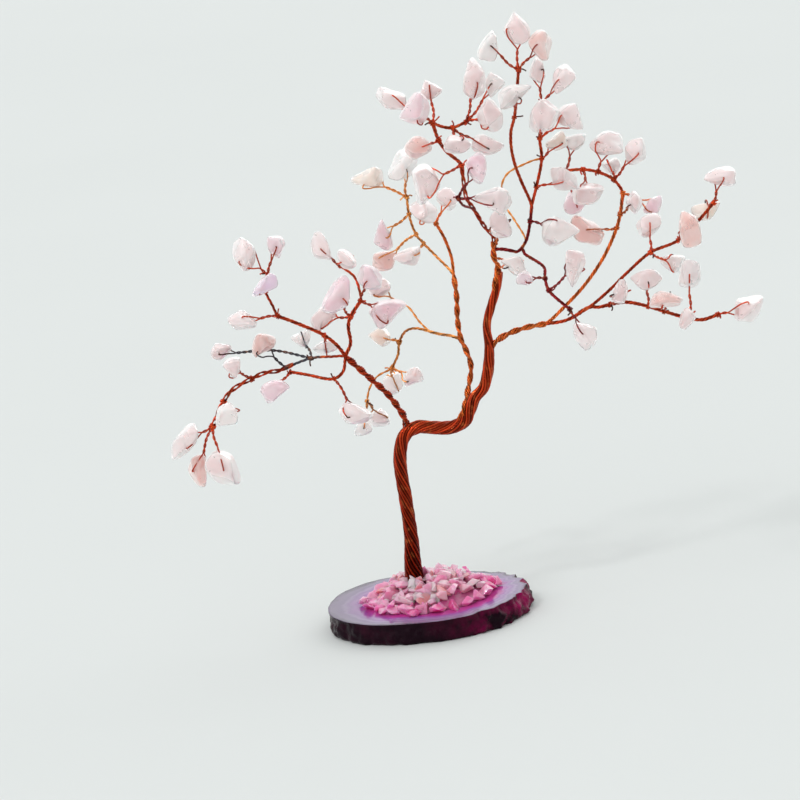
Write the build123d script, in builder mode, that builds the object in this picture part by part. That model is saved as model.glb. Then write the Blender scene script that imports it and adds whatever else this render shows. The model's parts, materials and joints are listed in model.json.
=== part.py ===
"""Gemstone tree: a twisted copper wire tree with rose-quartz chips on an agate slice.

Millimetres, +Z up, origin at the middle of the slice's flat underside.
Branches are drawn as they look from the front: x to the right, y away from the viewer and
z up the tree, all from the point where the trunk comes out of the crushed quartz.
"""

import os
from collections import namedtuple
from math import cos, pi, radians, sin, sqrt, tan

from build123d import *

# Wire and bundles
WIRE = 0.42
PACKING = 1.15
BALL_WALL = 0.22
BEND_RADIUS = 3.0
JOIN_GAP = 0.08

# Twig wires and chips
BORE_CLEARANCE = 0.4
WIRE_STANDOFF = 0.35
LEG_SPACING = 0.55
CROTCH = 1.1
LEG_BEND = 0.42
SHOULDERS = (0, 34, 66)
CHIP_THICKNESS = 0.8
CHIP_FULLNESS = 1.1
CHIP_CORNERS = 16

# How the drawing sits on the base
LEAN = 7.5
SIGHT = 14.0
FOOT_X = -2.8
FOOT_RISE = 7.0

# Agate slice
SLICE_THICKNESS = 6.2
SLICE_TOP_EDGE = 0.4
SLICE_BOTTOM_EDGE = 0.9
SLICE_OUTLINE = [
    (30.3, 3.0), (26.0, 13.0), (14.5, 19.5), (0.0, 23.0), (-13.5, 22.5), (-23.5, 15.0),
    (-28.3, 2.0), (-27.0, -10.0), (-19.0, -20.5), (-5.0, -26.0), (9.0, -26.0),
    (21.5, -19.5), (29.0, -8.0),
]

# Glue bed and crushed quartz
MOUND_X = 1.6
MOUND_Y = -1.0
GLUE_RADIUS = 16.5
GLUE_HEIGHT = 5.6
SHARD_RADIUS = 2.15
SHARD_CORNERS = 10
SHARD_LIFT = 1.2
SHARD_REST = 0.02
SHARD_RINGS = {
    "quartz_outer_ring": (0.97, 23),
    "quartz_middle_ring": (0.71, 17),
    "quartz_inner_ring": (0.45, 11),
    "quartz_crest": (0.19, 5),
}

# Trunk, in wires of the bundle
TRUNK_WIRES = 62
UPPER_WIRES = 43
TOP_WIRES = 25
CROWN_WIRES = 12
SIDE_WIRES = 5
FOOT_RADIUS = 3.1
FOOT_HEIGHT = 6.5

Stem = namedtuple("Stem", "wires points")
Chip = namedtuple("Chip", "stem knot centre length width tilt")


def on_tree(point):
    """Model point of a drawing point: stood on the slice, leaning, with true heights."""
    x, y, z = point
    lean = radians(LEAN)
    sight = radians(SIGHT)
    across = x * cos(lean) + z * sin(lean)
    seen = z * cos(lean) - x * sin(lean)
    height = (seen - y * sin(sight)) / cos(sight)
    return Vector(FOOT_X + across, y, SLICE_THICKNESS + FOOT_RISE + height)


def bundle_radius(wires):
    """Radius of a twisted bundle of so many wires."""
    return WIRE * PACKING * sqrt(wires) / 2


def bends(points, radius):
    """Bend radius at each inner point, kept short of the middle of the runs."""
    radii = []
    for before, here, after in zip(points, points[1:], points[2:]):
        turn = radians((here - before).get_angle(after - here))
        room = 0.45 * min((here - before).length, (after - here).length)
        radii.append(min(radius, room / tan(turn / 2)))
    return radii


def tube(points, radius, bend):
    """Round bundle or wire swept along straight runs with bends between them."""
    with BuildPart() as run:
        with BuildLine() as route:
            if len(points) > 2:
                FilletPolyline(*points, radius=bends(points, bend))
            else:
                Line(*points)
        with BuildSketch(Plane(origin=route.line @ 0, z_dir=route.line % 0)):
            Circle(radius)
        sweep(path=route.line)
    return run.part


def start_clear(origin, towards, radius, stem, rivals):
    """Point where a branch that leaves a stem's knot begins, clear of what else is there."""
    aim = (towards - origin).normalized()
    away = bundle_radius(stem.wires) + JOIN_GAP
    for other, thickness in rivals:
        angle = radians(aim.get_angle(other - origin))
        if angle < pi / 2:
            away = max(away, (thickness + radius + JOIN_GAP) / sin(angle))
    return origin + aim * away


def stem_rivals(stem, knot):
    """What a branch has to clear at a knot: the stem's own runs on both sides of it."""
    points = [on_tree(point) for point in stem.points]
    beside = points[max(knot - 1, 0):knot] + points[knot + 1:knot + 2]
    return [(point, bundle_radius(stem.wires)) for point in beside]


def stem_solid(stem, start, ball):
    """One twisted stem; the ball is the round root of a limb that can be bent."""
    points = [start] + [on_tree(point) for point in stem.points[1:]]
    radius = bundle_radius(stem.wires)
    with BuildPart() as bundle:
        add(tube(points, radius, BEND_RADIUS))
        if ball:
            with Locations(Plane(origin=points[0], z_dir=points[1] - points[0])):
                Sphere(radius + BALL_WALL)
    return bundle.part


def chip_axes(chip):
    """Half lengths of a chip and the directions they run in."""
    angle = radians(chip.tilt - LEAN)
    along = Vector(cos(angle), 0, sin(angle))
    across = Vector(-sin(angle), 0, cos(angle))
    deep = Vector(0, 1, 0)
    length = chip.length * CHIP_FULLNESS
    width = chip.width * CHIP_FULLNESS
    half = (length / 2, width / 2, width * CHIP_THICKNESS / 2)
    return list(zip(half, (along, across, deep)))


def reach(chip, aim):
    """Distance from a chip's middle to its skin along a direction."""
    total = 0
    for half, axis in chip_axes(chip):
        total += (aim.dot(axis) / half) ** 2
    return 1 / sqrt(total)


def bore_axis(chip, root, count):
    """Direction of the drilled hole: square to the twig, turned a little on every chip."""
    aim = (on_tree(chip.centre) - root).normalized()
    side = aim.cross(Vector(0, 1, 0))
    if side.length < 0.3:
        side = aim.cross(Vector(1, 0, 0))
    side = side.normalized()
    roll = radians((count * 67) % 110 + 35)
    return aim, side * cos(roll) + aim.cross(side) * sin(roll)


def chip_solid(chip, root, count):
    """Tumbled chip: corners spread over its skin, drilled across for the wire."""
    centre = on_tree(chip.centre)
    corners = []
    for k in range(CHIP_CORNERS):
        level = 1 - (2 * k + 1) / CHIP_CORNERS
        ring = sqrt(1 - level * level)
        turn = k * pi * (3 - sqrt(5)) + count * 1.7
        wobble = 0.95 + 0.05 * sin(3.7 * k + 1.9 * count)
        spread = (level, ring * cos(turn), ring * sin(turn))
        corner = centre
        for share, (half, axis) in zip(spread, chip_axes(chip)):
            corner += axis * (half * share * wobble)
        corners.append(corner)
    aim, bore = bore_axis(chip, root, count)
    with BuildPart() as stone:
        ConvexPolyhedron(corners)
        with Locations(Plane(origin=centre, z_dir=bore)):
            Cylinder((WIRE + BORE_CLEARANCE) / 2, 3 * chip.length, mode=Mode.SUBTRACT)
    return stone.part


def twig_solid(chip, root, start, count):
    """One wire: up the twig, round the chip, through its hole and back down beside itself."""
    centre = on_tree(chip.centre)
    aim, bore = bore_axis(chip, root, count)
    legs = []
    for side in (1, -1):
        leg = []
        for angle in SHOULDERS:
            way = bore * (side * cos(radians(angle))) - aim * sin(radians(angle))
            leg.append(centre + way * (reach(chip, way) + WIRE / 2 + WIRE_STANDOFF))
        apart = bore * (side * LEG_SPACING / 2)
        low = reach(chip, aim) + WIRE / 2 + WIRE_STANDOFF + CROTCH
        leg.append(centre - aim * low + apart)
        leg.append(start + apart)
        legs.append(leg)
    return tube(legs[0][::-1] + legs[1], WIRE / 2, LEG_BEND)


# Left limb: the stems from its hinge on the trunk, then the chips on them
LEFT_STEMS = {
    "limb": Stem(15, [(-3.1, 0, 43.5), (-4.5, -2, 47.6), (-7.6, -4, 51), (-10.9, -6, 54),
                      (-14.8, -8, 57.4), (-18.8, -10, 61)]),
    "upper": Stem(5, [(-18.8, -10, 61), (-21.3, -11, 64.1), (-24.9, -12, 66.9),
                      (-31.9, -13, 70), (-37.5, -13, 72.1)]),
    "tip": Stem(3, [(-37.5, -13, 72.1), (-39, -13, 75), (-40.9, -12, 79),
                    (-40.2, -12, 83.4)]),
    "middle": Stem(3, [(-18.8, -10, 61), (-23, -9, 61), (-28.6, -7, 60.6), (-35.6, -6, 58)]),
    "lower": Stem(4, [(-18.8, -10, 61), (-19.6, -12, 57), (-22.1, -13, 54.9),
                      (-29.7, -11, 56), (-34.4, -8.4, 56.8)]),
    "inner": Stem(5, [(-18.8, -10, 61), (-17.6, -10, 64.7), (-18.2, -10, 69.4),
                      (-17.6, -10, 72), (-14.8, -9, 76.4)]),
    "inner_tip": Stem(3, [(-14.8, -9, 76.4), (-15.3, -9, 80), (-16.5, -8, 83),
                          (-20.4, -8, 86)]),
}
LEFT_PARENTS = {"upper": "limb", "tip": "upper", "middle": "limb", "lower": "limb",
                "inner": "limb", "inner_tip": "inner"}
LEFT_CHIPS = [
    Chip("tip", 3, (-46.5, -13, 89), 9, 6.5, -50),
    Chip("tip", 3, (-38.4, -11, 91.3), 6.2, 5.2, 70),
    Chip("tip", 2, (-41.2, -19, 80.5), 8.4, 4.8, 20),
    Chip("upper", 4, (-47.3, -14, 70.8), 8, 6, -20),
    Chip("middle", 2, (-53.8, 0.5, 62.4), 6, 5, 0),
    Chip("middle", 3, (-42.2, -7, 64), 7.5, 6, 60),
    Chip("middle", 2, (-31, 2, 66), 6, 5, 20),
    Chip("lower", 4, (-39, -14, 52), 8, 6, 50),
    Chip("lower", 2, (-16.2, -17, 45.1), 9.5, 6, -10),
    Chip("upper", 2, (-24.6, -4.5, 63.8), 6.5, 5, -15),
    Chip("inner", 3, (-25.2, -6, 71.6), 8.5, 6, 60),
    Chip("inner", 3, (-20.9, -18, 78), 11.5, 7, 75),
    Chip("inner", 4, (-12.2, -14, 82.5), 8.5, 6.5, -40),
    Chip("inner", 4, (-6.8, -8, 73.1), 10.5, 7.5, 15),
    Chip("inner_tip", 3, (-26, -10, 91), 8.5, 5.2, -65),
    Chip("inner_tip", 3, (-18.8, -15, 87.4), 6.5, 4.6, -45),
]

# Left hanging branch, from its hinge on the left limb
DROP_STEMS = {
    "branch": Stem(8, [(-37.9, -6.5, 57.1), (-41.2, -8, 56.6), (-45.1, -9, 54.9),
                       (-50.4, -9, 51.8), (-53, -8, 48.5), (-56, -8, 41.7)]),
}
DROP_CHIPS = [
    Chip("branch", 2, (-50.4, -14, 58), 5.8, 5, 90),
    Chip("branch", 4, (-51.6, -15.5, 44.8), 7.8, 6.4, 70),
    Chip("branch", 5, (-64, -9, 37.2), 11.5, 6, 65),
    Chip("branch", 5, (-60.4, -5, 29.5), 9.5, 5.4, 85),
    Chip("branch", 5, (-53.2, -11, 29.5), 11.5, 8.5, -65),
]

# Centre limb
CENTRE_STEMS = {
    "limb": Stem(11, [(15, 2.4, 51), (16, 5, 58.5), (14.6, 7, 63), (13.2, 9, 66.1),
                     (12.3, 11, 71.1), (12, 13, 78.1), (11.2, 15, 84)]),
    "right": Stem(4, [(11.2, 15, 84), (10.6, 16, 89), (8.4, 17, 94.9), (6.2, 17, 98.6)]),
    "left": Stem(3, [(11.2, 15, 84), (6.3, 20, 89.6), (2.8, 22, 93.2), (0.6, 22, 95.8),
                     (-1.4, 20, 101.4), (-2, 19, 106)]),
}
CENTRE_PARENTS = {"right": "limb", "left": "limb"}
CENTRE_CHIPS = [
    Chip("left", 5, (-13.2, 20, 111.2), 9.5, 6.2, 15),
    Chip("left", 5, (-2.8, 16, 114.6), 10, 7.5, 60),
    Chip("left", 4, (-9, 16, 95.5), 9, 5.2, -80),
    Chip("left", 3, (-8.6, 25, 88.6), 8, 6.5, 30),
    Chip("left", 2, (-2, 14, 89.6), 7.5, 5.6, -10),
    Chip("right", 3, (2.6, 10, 101.6), 8, 7, 0),
    Chip("right", 3, (9.4, 19, 105.4), 7, 5.5, -60),
]

# Back branch, from its hinge on the centre limb
BACK_STEMS = {
    "branch": Stem(4, [(11, 10.4, 66.9), (7.3, 15, 67.6), (4.8, 18, 68.3)]),
    "upper": Stem(2, [(4.8, 18, 68.3), (1.7, 21, 71.1), (-1.7, 24, 75.5), (-5, 26, 77)]),
    "lower": Stem(3, [(4.8, 18, 68.3), (0.8, 20, 69.3), (-2.2, 23, 68.6), (-4.1, 26, 65.5),
                      (-4.5, 28, 61.9), (-6.2, 29, 58.2)]),
    "tip": Stem(2, [(-6.2, 29, 58.2), (-10.5, 29, 55.7), (-12.6, 28, 52.4),
                    (-13.4, 27, 48.7)]),
}
BACK_PARENTS = {"upper": "branch", "lower": "branch", "tip": "lower"}
BACK_CHIPS = [
    Chip("upper", 3, (-10, 25, 81), 7, 5.5, 20),
    Chip("lower", 3, (-9.6, 22, 67), 6.5, 5.5, 0),
    Chip("lower", 5, (-6, 35, 53.5), 7.5, 6, 20),
    Chip("lower", 5, (-0.4, 25, 55.6), 6, 5, 20),
    Chip("tip", 3, (-14.6, 25, 41), 6, 5, 45),
    Chip("tip", 3, (-10, 32, 44), 6.5, 5.5, 0),
]

# Right limb
RIGHT_STEMS = {
    "limb": Stem(12, [(23.8, 0, 66), (26.5, 0, 67.6), (31.4, 1, 69.3), (36.7, 2, 70.3)]),
    "upper": Stem(5, [(36.7, 2, 70.3), (43, 5, 76), (47.3, 7, 80.6), (50.7, 8.5, 85.1),
                      (53.8, 10, 90.2), (56.8, 11, 97.2), (57.8, 12, 101), (58.5, 13, 107)]),
    "top": Stem(4, [(58.5, 13, 107), (55.9, 13, 110.7), (51.5, 13, 112.8), (47.2, 13, 113.5),
                    (42.5, 13, 113.2)]),
    "lower": Stem(5, [(36.7, 2, 70.3), (42.6, 1, 71.3), (49, 0, 75)]),
    "outer": Stem(4, [(49, 0, 75), (54.6, -2, 79.8), (59.4, -4, 84.6), (65.5, -5, 89.9),
                      (73.1, -4, 93.2), (78.4, -3, 98.3), (83, -2, 103.6)]),
}
RIGHT_PARENTS = {"upper": "limb", "top": "upper", "lower": "limb", "outer": "lower"}
RIGHT_CHIPS = [
    Chip("top", 2, (53.8, 13, 120.6), 9.5, 7, 15),
    Chip("top", 1, (62, 14, 118.6), 8.5, 6.5, 75),
    Chip("top", 1, (55.5, 19, 115), 5.5, 4.5, 0),
    Chip("top", 3, (48.7, 8, 106.6), 9.5, 6.5, 25),
    Chip("top", 4, (45.2, 17, 104.5), 7.5, 6.2, 40),
    Chip("top", 4, (44.6, 14, 121.2), 7, 5, 0),
    Chip("upper", 5, (48, 10, 96.4), 11, 7, -45),
    Chip("upper", 6, (61.4, 6, 104), 6.5, 4.5, 80),
    Chip("upper", 7, (67.2, 12, 103.4), 6.5, 5, 30),
    Chip("outer", 3, (65.3, -2, 97.6), 7.5, 6, 30),
    Chip("outer", 4, (75.6, -12, 96.3), 10.5, 6.2, -75),
    Chip("outer", 6, (84.6, -1, 110.8), 9, 5.5, 0),
    Chip("outer", 6, (81.5, 6, 102), 8.5, 5.2, 20),
    Chip("outer", 3, (72.4, 3, 87), 7, 5, 0),
]

# Right outer branch, from its hinge on the right limb
SPRIG_STEMS = {
    "branch": Stem(5, [(51.7, -0.8, 74.9), (54.6, -2, 75.6), (59, -4, 76.2), (65, -6, 75),
                       (69.4, -7, 73.6), (76.2, -8, 71.7), (80, -8, 71.3), (84.3, -8, 72.7)]),
}
SPRIG_CHIPS = [
    Chip("branch", 1, (57, -12, 78.6), 6.5, 5.2, 45),
    Chip("branch", 3, (64, -8.5, 82.6), 9, 6, 0),
    Chip("branch", 4, (69.4, -14, 76.6), 9.5, 5, 0),
    Chip("branch", 5, (75.4, -14.5, 71.5), 6.5, 4.5, 80),
    Chip("branch", 5, (76.4, -6, 83.8), 8.5, 7, 60),
    Chip("branch", 7, (93, -9, 74.2), 9.5, 7.2, 30),
]

# Crown, left spray
SPRAY_STEMS = {
    "limb": Stem(7, [(22, -0.4, 94.3), (19.6, -4, 96.8), (16.5, -8, 101.4), (14.3, -10, 104.7),
                     (13.7, -11, 107.8), (12.9, -12, 113.4)]),
    "left": Stem(5, [(12.9, -12, 113.4), (8.7, -13, 117), (6.6, -13, 120), (5, -13, 124.5)]),
    "right": Stem(4, [(5, -13, 124.5), (7.3, -11, 123.8), (10.4, -10, 123.5), (14, -10, 125)]),
    "front": Stem(3, [(16.5, -8, 101.4), (13.2, -14, 102.5), (12, -16, 104.2)]),
}
SPRAY_PARENTS = {"left": "limb", "right": "left", "front": "limb"}
SPRAY_CHIPS = [
    Chip("limb", 5, (2.6, -10, 108), 11, 8.5, 70),
    Chip("left", 2, (1, -18, 117.5), 7.5, 6.5, 0),
    Chip("left", 3, (0.6, -19, 127.4), 9.5, 7.5, 50),
    Chip("left", 3, (-6.4, -10, 131), 9, 5.5, -15),
    Chip("left", 3, (4.4, -6.5, 134), 6.5, 5.5, 0),
    Chip("right", 2, (11.8, -16, 118.4), 7.5, 5.2, -5),
    Chip("right", 3, (16.4, -14, 136.4), 11, 6.5, 80),
    Chip("right", 3, (21.6, -8.6, 135), 6.8, 5.5, 70),
    Chip("right", 3, (20.6, -16, 126), 9.5, 7, -60),
    Chip("right", 2, (20, -8.5, 118.4), 9.5, 6, -15),
    Chip("front", 2, (17.1, -19, 112), 8.5, 6, -80),
    Chip("front", 2, (21.6, -17, 104), 10.5, 7.5, -15),
]

# Crown, top spray
TOP_STEMS = {
    "limb": Stem(4, [(28.7, -1.4, 90.2), (31, -1, 93), (32.2, 0, 98.6), (32.6, 1, 102.8)]),
    "left": Stem(4, [(32.6, 1, 102.8), (29.8, 2, 109.5), (28, 2, 114), (26.9, 2, 118.7),
                     (26.8, 2, 123.5), (27.7, 3, 127.1), (28.4, 4, 134.4), (28.8, 4, 140.1)]),
    "right": Stem(4, [(32.6, 1, 102.8), (33.9, 3, 108), (35.4, 4, 116), (34.8, 4, 121.5),
                      (35.6, 4, 131)]),
    "loop": Stem(2, [(31, -1, 93), (27.7, 3, 99.4), (25.5, 6, 103), (24.4, 7, 108.5),
                     (26, 7, 112), (31.1, 6.4, 114.8), (33.2, 5.6, 115.6)]),
}
TOP_PARENTS = {"left": "limb", "right": "limb", "loop": "limb"}
TOP_CHIPS = [
    Chip("left", 7, (28.2, 4, 151.6), 9, 7.5, 90),
    Chip("left", 7, (20.6, 3, 146.6), 8.5, 5.5, 75),
    Chip("left", 7, (35, 2, 146.6), 8.5, 6.5, -70),
    Chip("left", 5, (27.6, -2.2, 133.2), 10.5, 6, 30),
    Chip("right", 3, (35, -3, 127), 10, 8.5, 40),
    Chip("right", 3, (43.4, 4, 127), 8.5, 7.5, -50),
    Chip("right", 2, (40, 7, 120.6), 6.5, 5, 45),
    Chip("right", 4, (40.8, 2, 137.4), 8.5, 6, 60),
    Chip("right", 4, (34, 6, 140), 7.5, 5.6, -60),
    Chip("right", 1, (41.6, 1, 110), 9, 6.8, -20),
    Chip("limb", 2, (40, -4, 96.4), 10.5, 8, 25),
]

# Crown, front spray, from its hinge on the top spray
FRONT_STEMS = {
    "branch": Stem(4, [(30.6, -2.9, 89.6), (35.8, -9, 85.7), (36, -13, 82.5), (37, -15, 79.2),
                       (40.6, -17, 75.7), (42.8, -18, 73.9)]),
}
FRONT_CHIPS = [
    Chip("branch", 3, (44.2, -20, 85.6), 10.5, 6.2, -75),
    Chip("branch", 5, (47, -21.4, 67.2), 8.5, 6.5, -60),
    Chip("branch", 2, (30.2, -16, 82.6), 5, 4, 0),
]

# Trunk route from the foot to the cut-off bundle, and where each run of it ends
TRUNK_ROUTE = [(-0.6, 0, 9), (-2.2, 0, 20.4), (-3.6, 0, 29), (-3.9, 0, 34.5), (-2.4, 0, 39.4),
               (1, 0, 41.4), (6.4, 0, 41.2), (10.6, 0, 41.4), (14, 0, 43), (15.6, 0, 46.4),
               (17, 0, 49.6), (19.4, 0, 52.4), (20.7, 0, 57), (21, 0, 63.8), (20.3, 0, 70),
               (21.6, 0, 75.5), (23.2, 0, 81), (23.6, 0, 85.4)]
FOOT_RUN = 2.5
TRUNK_RUNS = {
    "trunk_lower": (0, 7, TRUNK_WIRES),
    "trunk_sideways": (7, 11, TRUNK_WIRES),
    "trunk_upper": (11, 15, UPPER_WIRES),
    "trunk_top": (15, 19, TOP_WIRES),
}

# Crown stem above the cut, the side stem that leaves it, and the two chips they carry
NECK_STEMS = {
    "crown": Stem(CROWN_WIRES, [(23.25, 0, 85.46), (23.33, 0, 86.3), (22.3, 0, 88.3),
                                (22, 0, 90.6), (22.1, 0, 92.9)]),
    "side": Stem(SIDE_WIRES, [(22, 0, 90.6), (24.4, -0.6, 90.9), (27.4, -1.1, 90.4)]),
}
NECK_PARENTS = {"side": "crown"}
NECK_CHIPS = [
    Chip("crown", 3, (23.8, -9, 97.6), 8.5, 6.5, 90),
    Chip("crown", 2, (27.6, -9, 86.4), 8, 5.5, -20),
]

os.makedirs("parts", exist_ok=True)


def export_group(solids, name):
    """Write one node of one or several separate solids."""
    group = Compound(label=name, children=list(solids))
    export_step(group, f"parts/{name}.step")


def export_limb(name, stems, parents, chips, hinged=True):
    """Write a limb's stems, its twig wires and its chips as three nodes."""
    rivals = {}
    bundles = []
    wires = []
    stones = []
    starts = {}
    for key, stem in stems.items():
        starts[key] = on_tree(stem.points[0])
        if key in parents:
            parent = stems[parents[key]]
            knot = parent.points.index(stem.points[0])
            there = rivals.setdefault((parents[key], knot), stem_rivals(parent, knot))
            towards = on_tree(stem.points[1])
            radius = bundle_radius(stem.wires)
            starts[key] = start_clear(starts[key], towards, radius, parent, there)
            there.append((towards, radius))
    for count, chip in enumerate(chips):
        stem = stems[chip.stem]
        root = on_tree(stem.points[chip.knot])
        there = rivals.setdefault((chip.stem, chip.knot), stem_rivals(stem, chip.knot))
        towards = on_tree(chip.centre)
        radius = LEG_SPACING / 2 + WIRE / 2
        start = start_clear(root, towards, radius, stem, there)
        there.append((towards, radius))
        wires.append(twig_solid(chip, root, start, count))
        stones.append(chip_solid(chip, root, count))
    for key, stem in stems.items():
        bundles.append(stem_solid(stem, starts[key], hinged and key not in parents))
    export_group(bundles, f"{name}_stems")
    export_group(wires, f"{name}_twigs")
    export_group(stones, f"{name}_chips")


# Agate slice: outline extruded, edges eased
with BuildPart() as agate_slice:
    with BuildSketch():
        with BuildLine():
            Spline(*SLICE_OUTLINE, periodic=True)
        make_face()
    extrude(amount=SLICE_THICKNESS)
    chamfer(agate_slice.faces().sort_by(Axis.Z)[-1].edges(), SLICE_TOP_EDGE)
    chamfer(agate_slice.faces().sort_by(Axis.Z)[0].edges(), SLICE_BOTTOM_EDGE)
agate_slice.part.label = "agate_slice"
export_step(agate_slice.part, "parts/agate_slice.step")

# Glue bed: a low dome on the slice
glue_sphere = (GLUE_RADIUS**2 + GLUE_HEIGHT**2) / (2 * GLUE_HEIGHT)
glue_centre = (MOUND_X, MOUND_Y, SLICE_THICKNESS + GLUE_HEIGHT - glue_sphere)
with BuildPart() as glue_bed:
    with Locations(glue_centre):
        Sphere(glue_sphere)
    split(bisect_by=Plane.XY.offset(SLICE_THICKNESS), keep=Keep.TOP)
glue_bed.part.label = "glue_bed"
export_step(glue_bed.part, "parts/glue_bed.step")

# Trunk foot: the flared ends of the bundle
trunk_radius = bundle_radius(TRUNK_WIRES)
with BuildPart() as trunk_foot:
    with Locations((FOOT_X, 0, SLICE_THICKNESS)):
        Cone(FOOT_RADIUS, trunk_radius, FOOT_HEIGHT, align=(Align.CENTER, Align.CENTER, Align.MIN))
trunk_foot.part.label = "trunk_foot"
export_step(trunk_foot.part, "parts/trunk_foot.step")

# Trunk runs, each starting and ending half way along a straight of the route
foot_top = SLICE_THICKNESS + FOOT_HEIGHT
trunk_points = [Vector(FOOT_X, 0, foot_top), Vector(FOOT_X, 0, foot_top + FOOT_RUN)]
trunk_points += [on_tree(point) for point in TRUNK_ROUTE]
for name, (first, last, wires) in TRUNK_RUNS.items():
    run = trunk_points[first:last + 1]
    if first > 0:
        run[0] = (run[0] + run[1]) / 2
    if last < len(trunk_points) - 1:
        run.append((run[-1] + trunk_points[last + 1]) / 2)
    export_group([tube(run, bundle_radius(wires), BEND_RADIUS)], name)


def shard_solid(ring, count, middle):
    """One crushed piece: corners on a lopsided ball, never below the slice's top."""
    corners = []
    spin = 2.1 * count + 40 * ring
    for k in range(SHARD_CORNERS):
        level = 1 - (2 * k + 1) / SHARD_CORNERS
        flat = sqrt(1 - level * level)
        turn = k * pi * (3 - sqrt(5)) + spin
        size = SHARD_RADIUS * (0.9 + 0.1 * sin(2.3 * k + spin))
        corner = middle + Vector(flat * cos(turn), flat * sin(turn), level) * size
        corner.Z = max(corner.Z, SLICE_THICKNESS + SHARD_REST)
        corners.append(corner)
    with BuildPart() as shard:
        ConvexPolyhedron(corners)
    return shard.part


# Crushed quartz: rings of pieces bedded in the dome, none on the trunk's foot
foot_axis = Vector(FOOT_X, 0, 0)
for name, (ring, pieces) in SHARD_RINGS.items():
    shards = []
    for count in range(pieces):
        angle = 2 * pi * (count + 0.5 * ring) / pieces
        out = ring * GLUE_RADIUS
        spot = Vector(MOUND_X + out * cos(angle), MOUND_Y + out * sin(angle), 0)
        if (spot - foot_axis).length < FOOT_RADIUS + SHARD_RADIUS:
            continue
        dome = sqrt(glue_sphere**2 - out**2) - glue_sphere + GLUE_HEIGHT
        spot.Z = SLICE_THICKNESS + dome + SHARD_LIFT
        shards.append(shard_solid(ring, count, spot))
    export_group(shards, name)

export_limb("neck", NECK_STEMS, NECK_PARENTS, NECK_CHIPS, hinged=False)
export_limb("left_limb", LEFT_STEMS, LEFT_PARENTS, LEFT_CHIPS)
export_limb("left_drop", DROP_STEMS, {}, DROP_CHIPS)
export_limb("centre_limb", CENTRE_STEMS, CENTRE_PARENTS, CENTRE_CHIPS)
export_limb("back_branch", BACK_STEMS, BACK_PARENTS, BACK_CHIPS)
export_limb("right_limb", RIGHT_STEMS, RIGHT_PARENTS, RIGHT_CHIPS)
export_limb("right_sprig", SPRIG_STEMS, {}, SPRIG_CHIPS)
export_limb("crown_left", SPRAY_STEMS, SPRAY_PARENTS, SPRAY_CHIPS)
export_limb("crown_top", TOP_STEMS, TOP_PARENTS, TOP_CHIPS)
export_limb("crown_front", FRONT_STEMS, {}, FRONT_CHIPS)
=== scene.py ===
"""Gemstone tree: twisted copper wire with rose-quartz chips, crushed quartz and an agate slice.

Routes are in millimetres, drawn as they look from the front: x to the right, y away from the
viewer and z up the tree, from the point where the trunk comes out of the crushed quartz.
Meshes are in metres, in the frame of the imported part.
"""

import json
import random
from collections import namedtuple
from math import asin, atan2, ceil, cos, pi, radians, sin, sqrt

import bmesh
import bpy
import numpy as np
from mathutils import Matrix, Vector, noise

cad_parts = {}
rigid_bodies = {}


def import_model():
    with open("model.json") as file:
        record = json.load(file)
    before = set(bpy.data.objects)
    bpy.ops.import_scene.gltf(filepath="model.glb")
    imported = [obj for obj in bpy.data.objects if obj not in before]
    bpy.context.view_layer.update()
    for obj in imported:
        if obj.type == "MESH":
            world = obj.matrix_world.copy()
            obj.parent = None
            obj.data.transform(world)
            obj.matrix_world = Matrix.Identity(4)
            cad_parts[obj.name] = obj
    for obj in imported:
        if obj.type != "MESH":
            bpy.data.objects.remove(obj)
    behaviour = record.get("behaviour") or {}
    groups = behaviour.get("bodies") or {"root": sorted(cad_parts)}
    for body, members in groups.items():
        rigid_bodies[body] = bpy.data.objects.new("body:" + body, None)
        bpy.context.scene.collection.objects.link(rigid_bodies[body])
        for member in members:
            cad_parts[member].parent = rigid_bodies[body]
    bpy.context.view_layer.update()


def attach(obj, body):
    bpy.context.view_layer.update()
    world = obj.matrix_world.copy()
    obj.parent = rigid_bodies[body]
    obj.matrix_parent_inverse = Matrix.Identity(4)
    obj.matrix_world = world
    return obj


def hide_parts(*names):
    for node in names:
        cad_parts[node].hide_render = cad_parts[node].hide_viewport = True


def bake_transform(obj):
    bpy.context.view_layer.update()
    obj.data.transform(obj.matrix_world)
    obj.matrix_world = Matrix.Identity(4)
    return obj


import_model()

MM = 0.001
ANY_TURN = 6.28

# Wire and bundles
WIRE = 0.42
PACKING = 1.15
STRAND_SIDES = 8
PAIRED_WIRES = 8
THIN_STEM = 6
HOLLOW_STEM = 3
PLY_WIRES = 4
PLY_SHARE = 0.58
PLY_SWELL = 1.12
OPEN_TWISTS = ("left_drop", "crown_left")
TRUNK_PITCH = 29.0
SIDEWAYS_PITCH = 22.0
LIMB_PITCH = 8.0
PLY_PITCH = 3.6
STEM_PITCH = 4.8
TWIG_PITCH = 3.4
# painted shade: every third strand of a bundle is darkened by this share, so the twist shows light and
# dark bands
PAINTED_SHADE = 0.42
SPLAY = 0.18
SPLAY_END = (6.0, 13.0)
# painted shade: darkness of the core tube inside each bundle, seen in the gaps between strands
CORE_SHADE = 0.28
CORE_INSET = 1.35
CORE_LIMIT = 0.3
FORK_RUN = 5.0
FRAY = 0.9
SUNK_AWAY = 0.15
UNEVEN = 0.05
UNEVEN_WAVE = 0.33
FOOT_FLARE = 0.6
FOOT_FLARE_RUN = 16.0
WRAP_TURNS = (1.3, 2.6)
WRAP_TAIL = (0.5, 1.7)
# share of wire ends painted dark: painted shade where a twig leg goes into its chip's hole; the cut ends
# of wraps get the same
DARK_ENDS = 0.45

# Twig wires and chips
CROTCH = 1.1
SHOULDERS = (66, 34, 0)
CHIP_THICKNESS = 0.8
CHIP_FACETS = 11
CHIP_DETAIL = 5
CHIP_TAPER = 0.28
CHIP_BEND = 0.2

# How the drawing sits on the base
LEAN = 7.5
SIGHT = 14.0
FOOT_X = -2.8
FOOT_RISE = 7.0

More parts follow.
